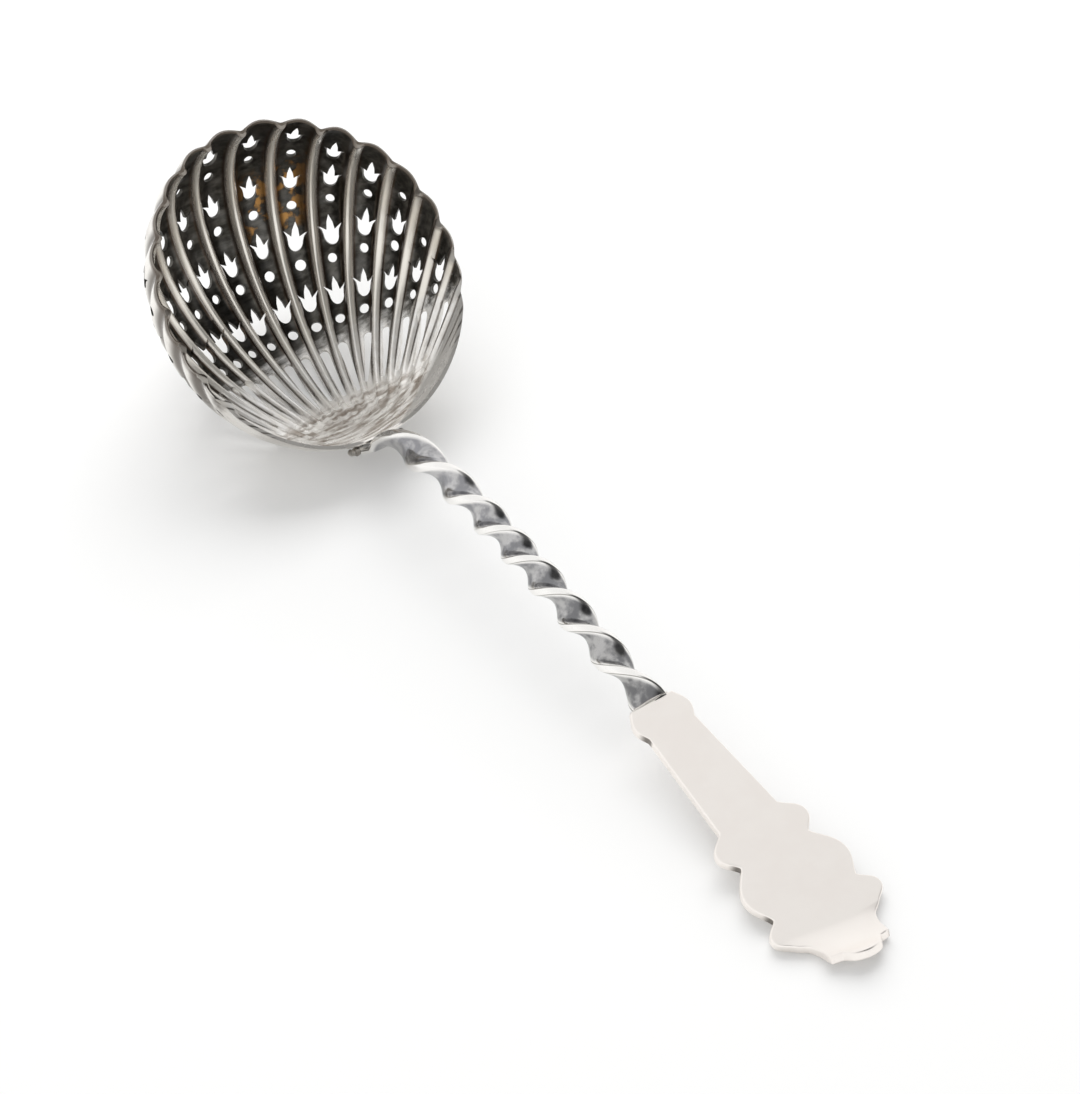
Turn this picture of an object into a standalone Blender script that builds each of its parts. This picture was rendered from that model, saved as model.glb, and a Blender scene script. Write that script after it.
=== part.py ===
"""Sugar sifter spoon: a pierced scallop-shell bowl, a twisted stem and a flat, shaped handle plate.

The spoon lies on a table, along Y, with the tip of its bowl toward +Y. Lengths are in metres.
"""
import math

import bmesh
import bpy
import numpy as np
from mathutils import Matrix, Vector

# Bowl: a leaning ellipsoid, measured inside, at the bottoms of its flutes. Its left half is narrower.
RIM_RADIUS = 0.0273
BOWL_DEPTH = 0.0238
BOWL_LEAN = 0.06
LEFT_SHARE = 0.87
RIM_TILT = math.radians(36.85)
WALL = 0.0009

# Flutes: they lie on planes that fan out from a line behind the hinge, which leans away from the bowl
FAN_SETBACK = 0.0029
FAN_LEAN = 0.373
FLUTES_EACH_SIDE = 8
FLUTE_STEP = math.radians(15.2)
FLUTE_NARROWING = math.radians(0.17)
FLUTE_RELIEF = 0.0012

# Piercing: a slot at the inner end of each flute, then round holes and tulips in turn
HUB_RADIUS = 0.0207
SLOT_LENGTH = 0.0104
SLOT_WIDTH = 0.0016
SLOT_TIP_WIDTH = 0.0007
SLOT_TO_HOLE = 0.0043
HOLE_TO_TULIP = 0.0049
TULIP_TO_HOLE = 0.0058
SPACING_SHARE = 0.45
HOLE_DIAMETER = 0.0017
RIM_MARGIN = 0.0047
# Tulip: the shares are of its height, or of its half-width
TULIP_HEIGHT = 0.0047
TULIP_WIDTH = 0.0034
TULIP_BASE_SPREAD = 0.72
TULIP_BASE_HEIGHT = 0.36
TULIP_SIDE_HEIGHT = 0.70
TULIP_CLEFT_SPREAD = 0.36
TULIP_CLEFT_HEIGHT = 0.56

# Stem: a bar twisted to the left, soft in section, with a flat tongue against the bowl
STEM_REACH = 0.0729
STEM_WIDTH = 0.0057
STEM_THICKNESS = 0.0025
STEM_HALF_TURNS = 8
STEM_SLOW_SHARE = 0.45
STEM_SLOW_RATE = 0.38
STEM_LATE_SHARE = 0.55
STEM_LATE_RATE = 0.65
STEM_END_ANGLE = math.radians(-8)
STEM_NECK_PULL = 0.0120
STEM_TAIL_PULL = 0.0380
STEM_TAIL_WIDTH = 0.0062
STEM_TAIL_THICKNESS = 0.0014
STEM_TAIL_BLEND = 0.0060
SECTION_SOFTNESS = 0.6
TONGUE_LENGTH = 0.0042
TONGUE_WIDTH = 0.0060
TONGUE_THICKNESS = 0.0014
TONGUE_BLEND = 0.0070

# Handle plate: distances run from its head, at the stem, to its tab, at the far end
PLATE_THICKNESS = 0.0016
PLATE_EDGE_ROUND = 0.0003
PLATE_SLOPE = math.radians(9.3)
HEAD_LENGTH = 0.0057
HEAD_END_HALF_WIDTH = 0.0040
HEAD_HALF_WIDTH = 0.0053
HEAD_SWELL = 0.55
SHAFT_LENGTH = 0.0196
SHAFT_START_HALF_WIDTH = 0.0044
SHAFT_END_HALF_WIDTH = 0.0056
# Each knob along the edge: its length, its half-width, and the half-width of the notch after it
KNOBS = ((0.0069, 0.0086, 0.0066), (0.0101, 0.0097, 0.0080), (0.0059, 0.0104, 0.0079))
KNOB_SWELL = 0.5
# Tab: a short waist, straight sides to a shoulder, then a narrower lip with a round end
WAIST_LENGTH = 0.0016
WAIST_HALF_WIDTH = 0.0061
SHOULDER_LENGTH = 0.0040
SHOULDER_HALF_WIDTH = 0.0055
SHOULDER_STEP = 0.0004
LIP_LENGTH = 0.0022
LIP_HALF_WIDTH = 0.0037
LIP_END_HALF_WIDTH = 0.0022
TAB_LIFT = math.radians(36)
TAB_BEND_LEAD = 0.0005
TAB_BEND_LENGTH = 0.0072
TAB_BEND_SKEW = 0.18

# Solder and fits
SEAM_GAP = 0.0003
BOWL_BEAD = 0.0006
HANDLE_BEAD = 0.00035

# Fineness of the meshes
COLUMNS_PER_FLUTE = 4
PLAIN_COLUMNS = 4
BOWL_ROWS = 12
RINGS_PER_HALF_TURN = 9
TONGUE_RINGS = 4
SECTION_POINTS = 12
ARC_SAMPLES = 240
HOLE_SIDES = 8
SLOT_END_POINTS = 5
TULIP_BASE_POINTS = 5
PUNCH_REACH = 2.0
CURVE_STEPS = 4
BEND_STEPS = 6
EDGE_STEPS = 1
BEAD_STEPS = 2
BEAD_SIDE_POINTS = 3
BEAD_END_POINTS = 9
SHARP_ANGLE = math.radians(40)
WELD_DISTANCE = 0.000001


def make_collection(name):
    collection = bpy.data.collections.new(name)
    bpy.context.scene.collection.children.link(collection)
    return collection


def make_material(name, colour, roughness):
    material = bpy.data.materials.new(name)
    material.use_nodes = True
    shader = material.node_tree.nodes["Principled BSDF"]
    shader.inputs["Base Color"].default_value = (*colour, 1.0)
    shader.inputs["Metallic"].default_value = 1.0
    shader.inputs["Roughness"].default_value = roughness
    return material


def add_object(name, data, collection, parent=None):
    item = bpy.data.objects.new(name, data)
    collection.objects.link(item)
    item.parent = parent
    return item


def mesh_from(name, bm, material):
    mesh = bpy.data.meshes.new(name)
    bm.to_mesh(mesh)
    bm.free()
    mesh.materials.append(material)
    mesh.shade_smooth()
    mesh.set_sharp_from_angle(angle=SHARP_ANGLE)
    return mesh


def bake_curve(curve_object):
    """Turn a curve object into a closed mesh, with its caps welded, and remove the curve."""
    bpy.context.view_layer.update()
    evaluated = curve_object.evaluated_get(bpy.context.evaluated_depsgraph_get())
    mesh = bpy.data.meshes.new_from_object(evaluated)
    bm = bmesh.new()
    bm.from_mesh(mesh)
    bmesh.ops.remove_doubles(bm, verts=bm.verts, dist=WELD_DISTANCE)
    bpy.data.meshes.remove(mesh)
    curve = curve_object.data
    bpy.data.objects.remove(curve_object)
    bpy.data.curves.remove(curve)
    return bm


def world_points(item):
    """World positions of an object's vertices, with its modifiers."""
    bpy.context.view_layer.update()
    evaluated = item.evaluated_get(bpy.context.evaluated_depsgraph_get())
    mesh = evaluated.to_mesh()
    points = [item.matrix_world @ vertex.co for vertex in mesh.vertices]
    evaluated.to_mesh_clear()
    return points


def set_on_table(frame, item):
    """Raise or lower a frame until the item that it carries touches z = 0."""
    frame.location.z -= min(point.z for point in world_points(item))


# The bowl's own frame has the rim in its XY plane, the tip at +Y and the hinge at -Y.
# A unit vector (ahead, aside, down) names a point of the ellipsoid.

def half_width(aside):
    """Half-width of the rim on the side where a point lies."""
    return RIM_RADIUS * (LEFT_SHARE if aside < 0 else 1.0)


def bowl_point(unit):
    ahead, aside, down = unit
    depth = BOWL_DEPTH * down
    return Vector((half_width(aside) * aside, RIM_RADIUS * ahead + BOWL_LEAN * depth, -depth))


def bowl_normal(unit):
    ahead, aside, down = unit
    rise = BOWL_LEAN * ahead / RIM_RADIUS - down / BOWL_DEPTH
    return Vector((aside / half_width(aside), ahead / RIM_RADIUS, rise)).normalized()


def fan_angle(rim_angle):
    """Angle of the fan's plane that meets the rim at an angle from the tip, seen from the rim's centre."""
    ahead = RIM_RADIUS * math.cos(rim_angle) + RIM_RADIUS + FAN_SETBACK
    return math.atan2(RIM_RADIUS * math.sin(rim_angle), ahead)


def flute_rim_angle(number):
    """Angle at which a flute meets the rim. Flute 0 runs to the tip, and flutes narrow toward the hinge."""
    return math.copysign(FLUTE_STEP * abs(number) - FLUTE_NARROWING * number ** 2, number)


def flute_units(angle, count):
    """Unit vectors along one plane's cut through the bowl, from the rim at the hinge to the tip's rim."""
    normal = np.array((-RIM_RADIUS * math.sin(angle), RIM_RADIUS * math.cos(angle),
                       -(BOWL_LEAN + FAN_LEAN) * BOWL_DEPTH * math.sin(angle)))
    size = np.linalg.norm(normal)
    offset = (RIM_RADIUS + FAN_SETBACK) * math.sin(angle) / size
    normal = normal / size
    radius = math.sqrt(1 - offset ** 2)
    ahead = np.cross(normal, (0, 0, 1))
    ahead = ahead / np.linalg.norm(ahead)
    down = np.cross(ahead, normal)
    start = math.asin(min(1.0, -offset * normal[2] / (radius * down[2])))
    turns = np.linspace(math.pi - start, start, count)
    return [offset * normal + radius * (math.cos(turn) * ahead + math.sin(turn) * down) for turn in turns]


def fan_point():
    return Vector((0, -RIM_RADIUS - FAN_SETBACK, 0))


def flute_relief(number, distance):
    """Height of the ridge at a place between two flutes. It grows from the hub to the rim."""
    last = FLUTES_EACH_SIDE + 1
    if abs(number) >= last:
        return 0.0
    growth = max(0.0, distance - HUB_RADIUS / 2) / (2 * RIM_RADIUS - HUB_RADIUS / 2)
    return FLUTE_RELIEF * growth * (1 - abs(math.cos(math.pi * number)))


def bowl_columns():
    """Pairs of flute number and fan angle across the bowl, from its left side to its right side."""
    last = FLUTES_EACH_SIDE + 1
    numbers = np.linspace(0, last, last * COLUMNS_PER_FLUTE + 1)
    half = [(number, fan_angle(flute_rim_angle(number))) for number in numbers]
    widest = math.asin(RIM_RADIUS / (RIM_RADIUS + FAN_SETBACK))
    edge = flute_rim_angle(last)
    for step in range(1, PLAIN_COLUMNS + 1):
        rim_angle = edge + (math.pi / 2 + widest - edge) * step / PLAIN_COLUMNS
        half.append((last, fan_angle(rim_angle)))
    return [(-number, -angle) for number, angle in reversed(half[1:])] + half


def build_bowl_sheet(material):
    """Inside surface of the bowl, one column of points along each plane of the fan."""
    bm = bmesh.new()
    columns = []
    for number, angle in bowl_columns():
        column = []
        for unit in flute_units(angle, BOWL_ROWS + 1):
            point = bowl_point(unit)
            relief = flute_relief(number, (point - fan_point()).length)
            column.append(bm.verts.new(point - bowl_normal(unit) * relief))
        columns.append(column)
    for left, right in zip(columns, columns[1:]):
        for row in range(BOWL_ROWS):
            bm.faces.new((left[row], left[row + 1], right[row + 1], right[row]))
    bmesh.ops.remove_doubles(bm, verts=bm.verts, dist=WELD_DISTANCE)
    return mesh_from("shell_bowl", bm, material)


def tulip_outline():
    """A tulip seen from the front: a round base and three petals that point at +Y."""
    half = TULIP_WIDTH / 2
    base = -TULIP_HEIGHT / 2
    outline = []
    for turn in np.linspace(math.pi, 2 * math.pi, TULIP_BASE_POINTS):
        rise = TULIP_BASE_HEIGHT * (1 + math.sin(turn))
        outline.append((half * TULIP_BASE_SPREAD * math.cos(turn), base + TULIP_HEIGHT * rise))
    outline.append((half, base + TULIP_HEIGHT * TULIP_SIDE_HEIGHT))
    outline.append((half * TULIP_CLEFT_SPREAD, base + TULIP_HEIGHT * TULIP_CLEFT_HEIGHT))
    outline.append((0, base + TULIP_HEIGHT))
    outline.append((-half * TULIP_CLEFT_SPREAD, base + TULIP_HEIGHT * TULIP_CLEFT_HEIGHT))
    outline.append((-half, base + TULIP_HEIGHT * TULIP_SIDE_HEIGHT))
    return outline


def slot_outline():
    """A long slot along Y, with round ends, that narrows toward the hub."""
    outline = []
    ends = ((SLOT_LENGTH / 2, SLOT_WIDTH, 0), (-SLOT_LENGTH / 2, SLOT_TIP_WIDTH, math.pi))
    for middle, width, start in ends:
        inset = math.copysign(width / 2, middle)
        for turn in np.linspace(start, start + math.pi, SLOT_END_POINTS):
            outline.append((width / 2 * math.cos(turn), middle - inset + width / 2 * math.sin(turn)))
    return outline


def hole_outline():
    turns = np.linspace(0, 2 * math.pi, HOLE_SIDES, endpoint=False)
    return [(HOLE_DIAMETER / 2 * math.cos(turn), HOLE_DIAMETER / 2 * math.sin(turn)) for turn in turns]


def stamp(bm, outline, place):
    """Add a straight punch with an outline in its XY plane, through the wall at a place."""
    reach = PUNCH_REACH * WALL
    face = bm.faces.new([bm.verts.new((x, y, -reach)) for x, y in outline])
    grown = bmesh.ops.extrude_face_region(bm, geom=[face])["geom"]
    top = [item for item in grown if isinstance(item, bmesh.types.BMVert)]
    bmesh.ops.translate(bm, verts=top, vec=(0, 0, 2 * reach))
    bmesh.ops.transform(bm, matrix=place, verts=list(face.verts) + top)


class FlutePath:
    """A flute's bottom line, read by the distance along it from the hinge."""

    def __init__(self, number):
        self.units = flute_units(fan_angle(flute_rim_angle(number)), ARC_SAMPLES)
        self.points = np.array([bowl_point(unit) for unit in self.units])
        steps = np.linalg.norm(np.diff(self.points, axis=0), axis=1)
        self.distances = np.concatenate(((0,), np.cumsum(steps)))
        self.length = self.distances[-1]

    def hub_distance(self):
        reach = np.linalg.norm(self.points - np.array(fan_point()), axis=1)
        return self.distances[int(np.argmax(reach > HUB_RADIUS))]

    def place(self, distance):
        """Frame on the flute: X across, Y toward the rim, Z outward."""
        index = int(np.clip(np.searchsorted(self.distances, distance), 1, ARC_SAMPLES - 1))
        start, end = self.points[index - 1], self.points[index]
        share = (distance - self.distances[index - 1]) / (self.distances[index] - self.distances[index - 1])
        along = Vector(end - start).normalized()
        outward = bowl_normal(self.units[index])
        across = along.cross(outward).normalized()
        frame = Matrix((across, outward.cross(across), outward)).transposed().to_4x4()
        frame.translation = Vector(start + (end - start) * share)
        return frame


def build_piercing():
    """All the punches that pierce the bowl, as separate closed bodies in one mesh."""
    bm = bmesh.new()
    full_length = FlutePath(0).length
    for number in range(-FLUTES_EACH_SIDE, FLUTES_EACH_SIDE + 1):
        path = FlutePath(number)
        slot_start = path.hub_distance()
        stamp(bm, slot_outline(), path.place(slot_start + SLOT_LENGTH / 2))
        spacing = 1 - SPACING_SHARE * (1 - path.length / full_length)
        distance = slot_start + SLOT_LENGTH + SLOT_TO_HOLE * spacing
        turns = [(hole_outline(), HOLE_TO_TULIP), (tulip_outline(), TULIP_TO_HOLE)]
        while distance < path.length - RIM_MARGIN:
            outline, step = turns[0]
            stamp(bm, outline, path.place(distance))
            distance += step * spacing
            turns.reverse()
    bmesh.ops.recalc_face_normals(bm, faces=bm.faces)
    mesh = bpy.data.meshes.new("bowl_piercing")
    bm.to_mesh(mesh)
    bm.free()
    return mesh


def build_bowl(parts, cutters, frame, material):
    bowl = add_object("shell_bowl", build_bowl_sheet(material), parts, frame)
    shell = bowl.modifiers.new("sheet", "SOLIDIFY")
    shell.thickness = WALL
    shell.offset = 1
    shell.use_quality_normals = True
    punches = add_object("bowl_piercing", build_piercing(), cutters, frame)
    punches.hide_render = True
    punches.display_type = "WIRE"
    cut = bowl.modifiers.new("piercing", "BOOLEAN")
    cut.operation = "DIFFERENCE"
    cut.solver = "EXACT"
    cut.object = punches
    return bowl


def hinge_wall(aside, depth, lift):
    """Point at a height above the bowl's outside wall near the hinge, in the bowl's frame."""
    across = aside / half_width(aside)
    down = depth / BOWL_DEPTH
    unit = (-math.sqrt(1 - across ** 2 - down ** 2), across, down)
    return bowl_point(unit) + bowl_normal(unit) * (WALL + lift)


def plate_edge():
    """Half of the plate's outline, as distance from the head, half-width and whether it is a corner."""
    edge = [(0, HEAD_END_HALF_WIDTH, True), (HEAD_LENGTH * HEAD_SWELL, HEAD_HALF_WIDTH, False),
            (HEAD_LENGTH, SHAFT_START_HALF_WIDTH, True)]
    distance = HEAD_LENGTH + SHAFT_LENGTH
    edge.append((distance, SHAFT_END_HALF_WIDTH, True))
    for length, knob_half_width, notch_half_width in KNOBS:
        edge.append((distance + length * KNOB_SWELL, knob_half_width, False))
        distance += length
        edge.append((distance, notch_half_width, True))
    edge.append((distance + WAIST_LENGTH, WAIST_HALF_WIDTH, False))
    distance += WAIST_LENGTH + SHOULDER_LENGTH
    edge.append((distance, SHOULDER_HALF_WIDTH, True))
    edge.append((distance + SHOULDER_STEP, LIP_HALF_WIDTH, True))
    edge.append((distance + LIP_LENGTH, LIP_END_HALF_WIDTH, False))
    return edge


def tab_start():
    return HEAD_LENGTH + SHAFT_LENGTH + sum(length for length, _, _ in KNOBS)


def bend_tab(bm):
    """Turn the plate's end up along a round bend, which runs a little askew across the plate.

    The plate's mid-plane is z = 0 and it runs to -Y.
    """
    middle_start = tab_start() - TAB_BEND_LEAD
    askew = Vector((TAB_BEND_SKEW, 1, 0)).normalized()
    for cut in np.linspace(0, TAB_BEND_LENGTH, BEND_STEPS):
        geometry = bm.verts[:] + bm.edges[:] + bm.faces[:]
        bmesh.ops.bisect_plane(bm, geom=geometry, plane_co=(0, -middle_start - cut, 0), plane_no=askew)
    radius = TAB_BEND_LENGTH / TAB_LIFT
    for vertex in bm.verts:
        bend_start = middle_start + TAB_BEND_SKEW * vertex.co.x
        past = -vertex.co.y - bend_start
        if past <= 0:
            continue
        turn = TAB_LIFT * min(1.0, past / TAB_BEND_LENGTH)
        straight = max(0.0, past - TAB_BEND_LENGTH)
        inner = radius - vertex.co.z
        vertex.co.y = -bend_start - inner * math.sin(turn) - straight * math.cos(turn)
        vertex.co.z = radius - inner * math.cos(turn) + straight * math.sin(turn)


def build_plate(parts, frame, material):
    half = plate_edge()
    outline = [(width, -distance, corner) for distance, width, corner in half]
    outline += [(-width, -distance, corner) for distance, width, corner in reversed(half)]
    curve = bpy.data.curves.new("plate_outline", "CURVE")
    curve.dimensions = "2D"
    curve.fill_mode = "BOTH"
    curve.extrude = PLATE_THICKNESS / 2 - PLATE_EDGE_ROUND
    curve.bevel_depth = PLATE_EDGE_ROUND
    curve.bevel_resolution = EDGE_STEPS
    curve.offset = -PLATE_EDGE_ROUND
    curve.resolution_u = CURVE_STEPS
    spline = curve.splines.new("BEZIER")
    spline.bezier_points.add(len(outline) - 1)
    spline.use_cyclic_u = True
    for point, (x, y, corner) in zip(spline.bezier_points, outline):
        point.co = (x, y, 0)
        handle = "VECTOR" if corner else "AUTO"
        point.handle_left_type = handle
        point.handle_right_type = handle
    bm = bake_curve(add_object("plate_outline", curve, parts))
    bend_tab(bm)
    return add_object("handle_plate", mesh_from("handle_plate", bm, material), parts, frame)


def bezier(points, share):
    start, first, second, end = points
    rest = 1 - share
    return (start * rest ** 3 + first * (3 * rest ** 2 * share)
            + second * (3 * rest * share ** 2) + end * share ** 3)


def smooth_step(share):
    held = min(1.0, max(0.0, share))
    return held * held * (3 - 2 * held)


def section_outline(width, thickness):
    """Soft-cornered section of the bar."""
    outline = []
    for turn in np.linspace(0, 2 * math.pi, SECTION_POINTS, endpoint=False):
        across = math.copysign(abs(math.cos(turn)) ** SECTION_SOFTNESS, math.cos(turn))
        up = math.copysign(abs(math.sin(turn)) ** SECTION_SOFTNESS, math.sin(turn))
        outline.append((width / 2 * across, thickness / 2 * up))
    return outline


class StemLine:
    """The stem's middle line: up the bowl's outside wall, over in one curve, and down to the plate's head."""

    def __init__(self, bowl_frame, plate_frame):
        lift = SEAM_GAP + TONGUE_THICKNESS / 2
        depths = np.linspace(TONGUE_LENGTH, 0, TONGUE_RINGS, endpoint=False)
        tongue = [bowl_frame @ hinge_wall(0, depth, lift) for depth in depths]
        leaving = bowl_frame @ hinge_wall(0, 0, lift)
        upward = (bowl_frame.to_3x3() @ Vector((0, 0, 1))).normalized()
        head = plate_frame @ Vector((0, SEAM_GAP, 0))
        outward = (plate_frame.to_3x3() @ Vector((0, -1, 0))).normalized()
        controls = (leaving, leaving + upward * STEM_NECK_PULL, head - outward * STEM_TAIL_PULL, head)
        count = STEM_HALF_TURNS * RINGS_PER_HALF_TURN + 1
        self.points = tongue + [bezier(controls, share) for share in np.linspace(0, 1, count)]
        lengths = [(b - a).length for a, b in zip(self.points, self.points[1:])]
        self.distances = np.concatenate(((0,), np.cumsum(lengths)))
        self.leaves = self.distances[TONGUE_RINGS]
        self.length = self.distances[-1]

    def point(self, distance):
        return Vector([np.interp(distance, self.distances, column) for column in np.array(self.points).T])

    def twist(self, distance):
        """Turn of the bar at a distance. It starts slowly at the bowl and slows again toward the plate."""
        share = max(0.0, (distance - self.leaves) / (self.length - self.leaves))
        turned = self.even_turn(share) / self.even_turn(1.0)
        return turned * (STEM_HALF_TURNS * math.pi + STEM_END_ANGLE)

    def even_turn(self, share):
        """What an even twist would give by a share of the way, less what the slow stretches hold back."""
        slow = min(share, STEM_SLOW_SHARE)
        late = max(0.0, share - STEM_LATE_SHARE)
        lag = (1 - STEM_SLOW_RATE) * (slow - slow ** 2 / (2 * STEM_SLOW_SHARE))
        return share - lag - (1 - STEM_LATE_RATE) * late ** 2 / (2 * (1 - STEM_LATE_SHARE))

    def size(self, distance):
        """Width and thickness of the bar: flat at the tongue, then even, then wide and thin at the plate."""
        blend = smooth_step((distance - self.leaves) / TONGUE_BLEND)
        width = TONGUE_WIDTH + (STEM_WIDTH - TONGUE_WIDTH) * blend
        thickness = TONGUE_THICKNESS + (STEM_THICKNESS - TONGUE_THICKNESS) * blend
        tail = smooth_step((distance - self.length + STEM_TAIL_BLEND) / STEM_TAIL_BLEND)
        width += (STEM_TAIL_WIDTH - width) * tail
        return width, thickness + (STEM_TAIL_THICKNESS - thickness) * tail

    def ring(self, distance, grow=0.0):
        """Outline of the bar at a distance along the line, grown outward by an amount."""
        step = self.length / len(self.points)
        before, middle, after = (self.point(distance + shift) for shift in (-step, 0, step))
        side = Vector((1, 0, 0))
        up = (after - before).normalized().cross(side)
        turn = self.twist(distance)
        across = up * math.sin(turn) - side * math.cos(turn)
        rise = up * math.cos(turn) + side * math.sin(turn)
        width, thickness = self.size(distance)
        outline = section_outline(width + 2 * grow, thickness + 2 * grow)
        return [middle + across * x + rise * y for x, y in outline]


def build_stem(parts, line, root, material):
    bm = bmesh.new()
    rings = []
    for distance in line.distances:
        rings.append([bm.verts.new(point) for point in line.ring(distance)])
    for near, far in zip(rings, rings[1:]):
        for spot in range(SECTION_POINTS):
            after = (spot + 1) % SECTION_POINTS
            bm.faces.new((near[spot], near[after], far[after], far[spot]))
    bm.faces.new(rings[0])
    bm.faces.new(rings[-1])
    bmesh.ops.recalc_face_normals(bm, faces=bm.faces)
    return add_object("twisted_stem", mesh_from("twisted_stem", bm, material), parts, root)


def build_bead(name, points, radius, closed, parts, parent, material):
    """A bead of solder along a line of points."""
    curve = bpy.data.curves.new(name, "CURVE")
    curve.dimensions = "3D"
    curve.bevel_depth = radius
    curve.bevel_resolution = BEAD_STEPS
    curve.use_fill_caps = True
    spline = curve.splines.new("POLY")
    spline.points.add(len(points) - 1)
    spline.use_cyclic_u = closed
    for spot, point in zip(spline.points, points):
        spot.co = (*point, 1)
    bm = bake_curve(add_object(name + "_line", curve, parts))
    bmesh.ops.recalc_face_normals(bm, faces=bm.faces)
    return add_object(name, mesh_from(name, bm, material), parts, parent)


def bowl_bead_points():
    """A U on the bowl's outside wall, down one side of the tongue, round its end and up the other side."""
    lift = SEAM_GAP + BOWL_BEAD
    reach = TONGUE_WIDTH / 2 + lift
    start = TONGUE_LENGTH / 3
    depths = np.linspace(start, TONGUE_LENGTH, BEAD_SIDE_POINTS, endpoint=False)
    points = [hinge_wall(-reach, depth, lift) for depth in depths]
    for turn in np.linspace(0, math.pi, BEAD_END_POINTS):
        aside = -reach * math.cos(turn)
        points.append(hinge_wall(aside, TONGUE_LENGTH + lift * math.sin(turn), lift))
    points += [hinge_wall(reach, depth, lift) for depth in reversed(depths)]
    return points


def main():
    for item in list(bpy.data.objects):
        bpy.data.objects.remove(item)
    parts = make_collection("sugar_sifter_spoon")
    cutters = make_collection("cutters")
    bowl_silver = make_material("pierced_silver", (0.72, 0.68, 0.62), 0.30)
    stem_silver = make_material("twisted_silver", (0.86, 0.84, 0.81), 0.18)
    plate_silver = make_material("plate_silver", (0.88, 0.85, 0.82), 0.28)
    solder = make_material("silver_solder", (0.62, 0.60, 0.56), 0.45)

    root = add_object("spoon", None, parts)
    bowl_frame = add_object("bowl_frame", None, parts, root)
    bowl_frame.rotation_euler.x = RIM_TILT
    bowl = build_bowl(parts, cutters, bowl_frame, bowl_silver)
    set_on_table(bowl_frame, bowl)

    plate_frame = add_object("plate_frame", None, parts, root)
    plate_frame.rotation_euler.x = PLATE_SLOPE
    hinge = bowl_frame.matrix_basis @ hinge_wall(0, 0, 0)
    plate_frame.location.y = hinge.y - STEM_REACH
    plate = build_plate(parts, plate_frame, plate_silver)
    set_on_table(plate_frame, plate)

    line = StemLine(bowl_frame.matrix_basis, plate_frame.matrix_basis)
    stem = build_stem(parts, line, root, stem_silver)
    build_bead("bowl_solder", bowl_bead_points(), BOWL_BEAD, False, parts, bowl_frame, solder)
    collar = line.ring(line.length - HANDLE_BEAD, SEAM_GAP + HANDLE_BEAD)
    build_bead("handle_solder", collar, HANDLE_BEAD, True, parts, root, solder)

    points = [point for item in (bowl, plate, stem) for point in world_points(item)]
    for axis in (0, 1):
        along = [point[axis] for point in points]
        root.location[axis] = -(min(along) + max(along)) / 2


main()
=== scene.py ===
import math

import bmesh
import bpy
import numpy as np
from mathutils import Matrix, Vector


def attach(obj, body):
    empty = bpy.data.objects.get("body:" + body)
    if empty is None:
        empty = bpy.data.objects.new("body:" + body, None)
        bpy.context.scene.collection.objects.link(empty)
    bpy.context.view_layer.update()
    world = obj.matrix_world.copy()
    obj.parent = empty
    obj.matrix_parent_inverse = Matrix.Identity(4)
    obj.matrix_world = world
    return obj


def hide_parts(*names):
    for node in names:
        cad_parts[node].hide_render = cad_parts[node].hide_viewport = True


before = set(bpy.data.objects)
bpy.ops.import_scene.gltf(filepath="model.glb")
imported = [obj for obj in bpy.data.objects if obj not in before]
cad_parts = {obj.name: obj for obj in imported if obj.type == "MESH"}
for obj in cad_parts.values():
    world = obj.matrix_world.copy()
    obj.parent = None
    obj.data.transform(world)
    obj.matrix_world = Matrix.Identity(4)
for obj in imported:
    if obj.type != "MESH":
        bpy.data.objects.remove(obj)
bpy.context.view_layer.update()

# The shell bowl is pressed from one sheet of silver over a fluted die, which leaves round ribs standing
# inside, and is then pierced by hand along every flute. Its hollows are left dark and its ribs are rubbed
# bright, with a painted highlight along each rib's crest and painted shade on its flanks. It lies on its
# underside, with its rim tilted back toward the stem.
RIM_RADIUS = 0.0273
BOWL_DEPTH = 0.0238
BOWL_LEAN = 0.06
LEFT_SHARE = 0.87
WALL = 0.0009
SHEET = 0.0006
RIM_TILT = math.radians(36.85)
BOWL_SEAT = Vector((-0.001767, 0.061848, 0.025338))
FAN_SETBACK = 0.0029
FAN_LEAN = 0.373
FLUTES_EACH_SIDE = 8
FLUTE_STEP = math.radians(15.2)
FLUTE_NARROWING = math.radians(0.17)
FLUTE_SPREAD = FLUTE_STEP / 2
SCALLOP_HEIGHT = 0.0011
SCALLOP_SPREAD = 0.30
SCALLOP_CREST_ROUNDING = 0.02
RIB_HEIGHT = 0.00060
RIB_WIDTH = 0.0021
RIB_HUB_SHARE = 0.55
RIB_START_GROWTH = 0.08
RIB_FULL_GROWTH = 0.3
HUB_RADIUS = 0.0207
HUB_CREASE = 0.0003
HUB_CREASE_SCALE = 900.0
HUB_CREASE_STRETCH = (0.35, 1.0, 1.0)
HUB_CREASE_FADE = 0.82
HUB_CREASE_END = 1.05
LIP_HEIGHT = 0.0003
COLUMNS_PER_FLUTE = 16
COLUMN_CROWDING = 0.65
PLAIN_COLUMNS = 10
BOWL_ROWS = 96
WELD_DISTANCE = 0.000001

bowl_place = Matrix.Translation(BOWL_SEAT) @ Matrix.Rotation(RIM_TILT, 4, "X")
fan_point = np.array((0.0, -RIM_RADIUS - FAN_SETBACK, 0.0))


def half_width(aside):
    """Half-width of the rim on the side where each point lies."""
    return RIM_RADIUS * np.where(aside < 0, LEFT_SHARE, 1.0)


def bowl_points(units):
    """Points of the bowl's inside for directions ahead, aside and down."""
    ahead, aside, down = units.T
    depth = BOWL_DEPTH * down
    return np.column_stack((half_width(aside) * aside, RIM_RADIUS * ahead + BOWL_LEAN * depth, -depth))


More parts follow.
